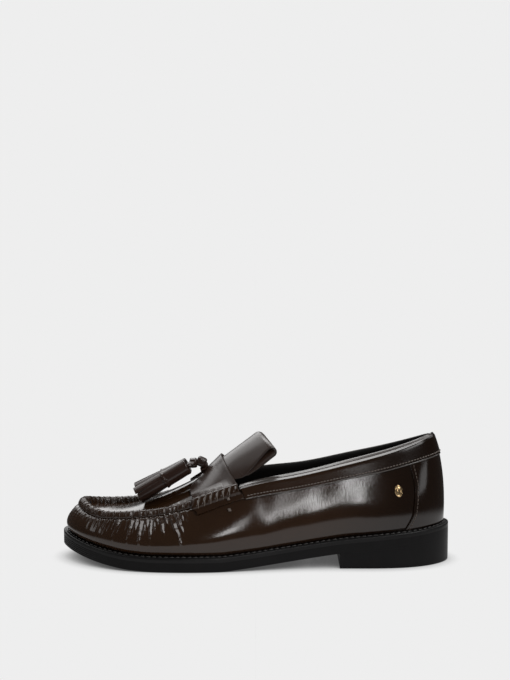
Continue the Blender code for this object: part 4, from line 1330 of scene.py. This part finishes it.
def make_knot():
    """The knotted lace: two wraps side by side, a tail down into the vamp and an arm to each tassel."""
    first, second = (np.array(lobe[1]) for lobe in KNOT_LOBES)
    sideways = np.array((0.0, 1.0, 0.0))
    reach = np.linspace(-0.5, 0.5, 24)
    swell = (1 - np.abs(2 * reach) ** 5) ** 0.5 * 0.55 + 0.45
    pieces = []
    for name, middle, length, droop in KNOT_LOBES:
        axis = np.array((math.cos(math.radians(droop)), 0.0, math.sin(math.radians(droop))))
        path = (middle + axis * reach[:, None] * length)[None]
        side = np.broadcast_to(sideways, path.shape)
        up = np.broadcast_to(np.cross(axis, sideways), path.shape)
        pieces.append(sweep(name, path, side, up, soft_square(KNOT_RADIUS), swell))
    route = [second + step for step in ((0.0014, 0, -0.0004), (0.0030, 0, -0.0020), (0.0026, 0, -0.0046))]
    path = through(route + [np.array(LACE_END) + (0.0012, 0, 0.0006)], 40)[None]
    side = np.broadcast_to(sideways, path.shape)
    up = unit(np.cross(unit(np.gradient(path, axis=1)), side))
    pieces.append(sweep("knot_tail", path, side, up, strap_outline(*LACE_TAIL, LACE_CORNER)))
    for name, top, slope, splay in TASSELS:
        axis = tassel_matrix(top, slope, splay)[:3, 2]
        seat = np.array(top) + axis * 0.0001
        middle = (seat + axis * 0.003) * 0.5 + first * 0.5
        path = through((seat - axis * 0.002, seat + axis * 0.0012, middle, first + (0.0005, 0, 0)), 60)[None]
        along = unit(np.gradient(path, axis=1))
        side = unit(np.cross(along, (0.0, 0.0, 1.0)))
        outline = strap_outline(*LACE_ARM, LACE_CORNER)
        pieces.append(sweep("knot_arm_" + name, path, side, np.cross(side, along), outline))
    for index, piece in enumerate(pieces):
        finish(piece, "upper_leather", TASSEL_LEATHER, replaces=("tassel_knot",) if index == 0 else ())


def make_stud():
    """A plain domed oval stud with a stepped rim."""
    around = around_at_x(STUD_X, STUD_HEIGHT, 1)
    wall = Wall(np.array([around, around + 0.1]))
    middle, ahead = wall.point(STUD_HEIGHT)
    out = wall.normal(STUD_HEIGHT)[0]
    along = unit(ahead - middle)
    up = unit(np.cross(out, along))
    if up[2] < 0:
        up = -up
    angle = np.linspace(0, 2 * np.pi, 65)
    a = STUD_PROFILE[:, :1] * STUD_SIZE[0] / 2 * np.cos(angle)
    b = STUD_PROFILE[:, :1] * STUD_SIZE[1] / 2 * np.sin(angle)
    points = middle + a[..., None] * along + b[..., None] * up + STUD_PROFILE[:, 1:, None] * out
    closed_grid(points, "plain_stud", "stud_metal", STUD_METAL, ("side_stud",))


# Stage

def make_floor():
    """A pale floor that glows evenly, with the shoe's shadow painted into its glow near the shoe, and darker
    beyond the table in the leather's mirror.
    """
    bpy.ops.object.select_all(action="DESELECT")
    bpy.ops.mesh.primitive_grid_add(x_subdivisions=2, y_subdivisions=2, size=60)
    floor = bpy.context.object
    floor.name = "floor"
    made = bpy.data.materials.new("pale_floor")
    made.use_nodes = True
    tree = made.node_tree
    tree.nodes.clear()
    # Painted shadow: the floor's glow dims where the shoe closes in over it
    open_share = node(tree, "ShaderNodeAmbientOcclusion", samples=16, Distance=SHADOW_REACH).outputs["AO"]
    pale = ranged(tree, open_share, *SHADOW_RANGE, SHADOW_DARK, PALE)
    place = node(tree, "ShaderNodeTexCoord").outputs["Object"]
    stretched = node(tree, "ShaderNodeVectorMath", place, *TABLE_SHAPE, operation="MULTIPLY_ADD").outputs[0]
    distance = node(tree, "ShaderNodeVectorMath", stretched, operation="LENGTH").outputs["Value"]
    beyond = ranged(tree, distance, *TABLE_REACH, kind="SMOOTHSTEP")
    glossy = node(tree, "ShaderNodeLightPath").outputs["Is Glossy Ray"]
    mirrored = reckon(tree, "MULTIPLY", beyond, glossy)
    strength = node(tree, "ShaderNodeMix", mirrored, None, pale, DIM, data_type="FLOAT").outputs[0]
    glow = node(tree, "ShaderNodeEmission", Strength=strength).outputs[0]
    node(tree, "ShaderNodeOutputMaterial", Surface=glow)
    floor.data.materials.append(made)


def make_stage():
    """Floor, backdrop, soft studio lights and the camera."""
    scene = bpy.context.scene
    scene.view_settings.view_transform = "Standard"
    make_floor()
    world = scene.world or bpy.data.worlds.new("studio")
    scene.world = world
    world.use_nodes = True
    tree = world.node_tree
    tree.nodes.clear()
    seen = node(tree, "ShaderNodeLightPath").outputs["Is Camera Ray"]
    room, pale = (node(tree, "ShaderNodeBackground", (c, c, c, 1.0), 1.0).outputs[0] for c in (DIM, PALE))
    mix = node(tree, "ShaderNodeMixShader", seen, room, pale).outputs[0]
    node(tree, "ShaderNodeOutputWorld", Surface=mix)

    for name, place, aim, size, power in LIGHTS:
        lamp = bpy.data.lights.new(name, "AREA")
        lamp.shape = "RECTANGLE"
        lamp.size, lamp.size_y = size
        lamp.energy = power
        holder = bpy.data.objects.new(name, lamp)
        scene.collection.objects.link(holder)
        holder.location = place
        holder.rotation_euler = (Vector(aim) - Vector(place)).to_track_quat("-Z", "Y").to_euler()
        holder.visible_camera = False

    camera = bpy.data.cameras.new("camera")
    camera.lens = CAMERA_LENS
    camera.sensor_width = 36.0
    eye = bpy.data.objects.new("camera", camera)
    scene.collection.objects.link(eye)
    down = math.radians(CAMERA_ELEVATION)
    rise = CAMERA_DISTANCE * math.sin(down)
    eye.location = (CAMERA_X, -CAMERA_DISTANCE * math.cos(down), CAMERA_AIM_Z + rise)
    eye.rotation_euler = (math.pi / 2 - down + math.radians(CAMERA_TILT_UP), 0.0, 0.0)
    scene.camera = eye


make_upper()
make_apron()
make_bead_stitches()
make_strap()
make_strap_stitches()
make_collar_band()
make_collar_binding()
make_heel_counter()
make_tongue()
make_outsole()
make_welt()
make_heel()
make_insole()
for index, tassel in enumerate(TASSELS):
    make_tassel(*tassel, 0.6 + 1.9 * index)
make_knot()
make_stud()
make_stage()
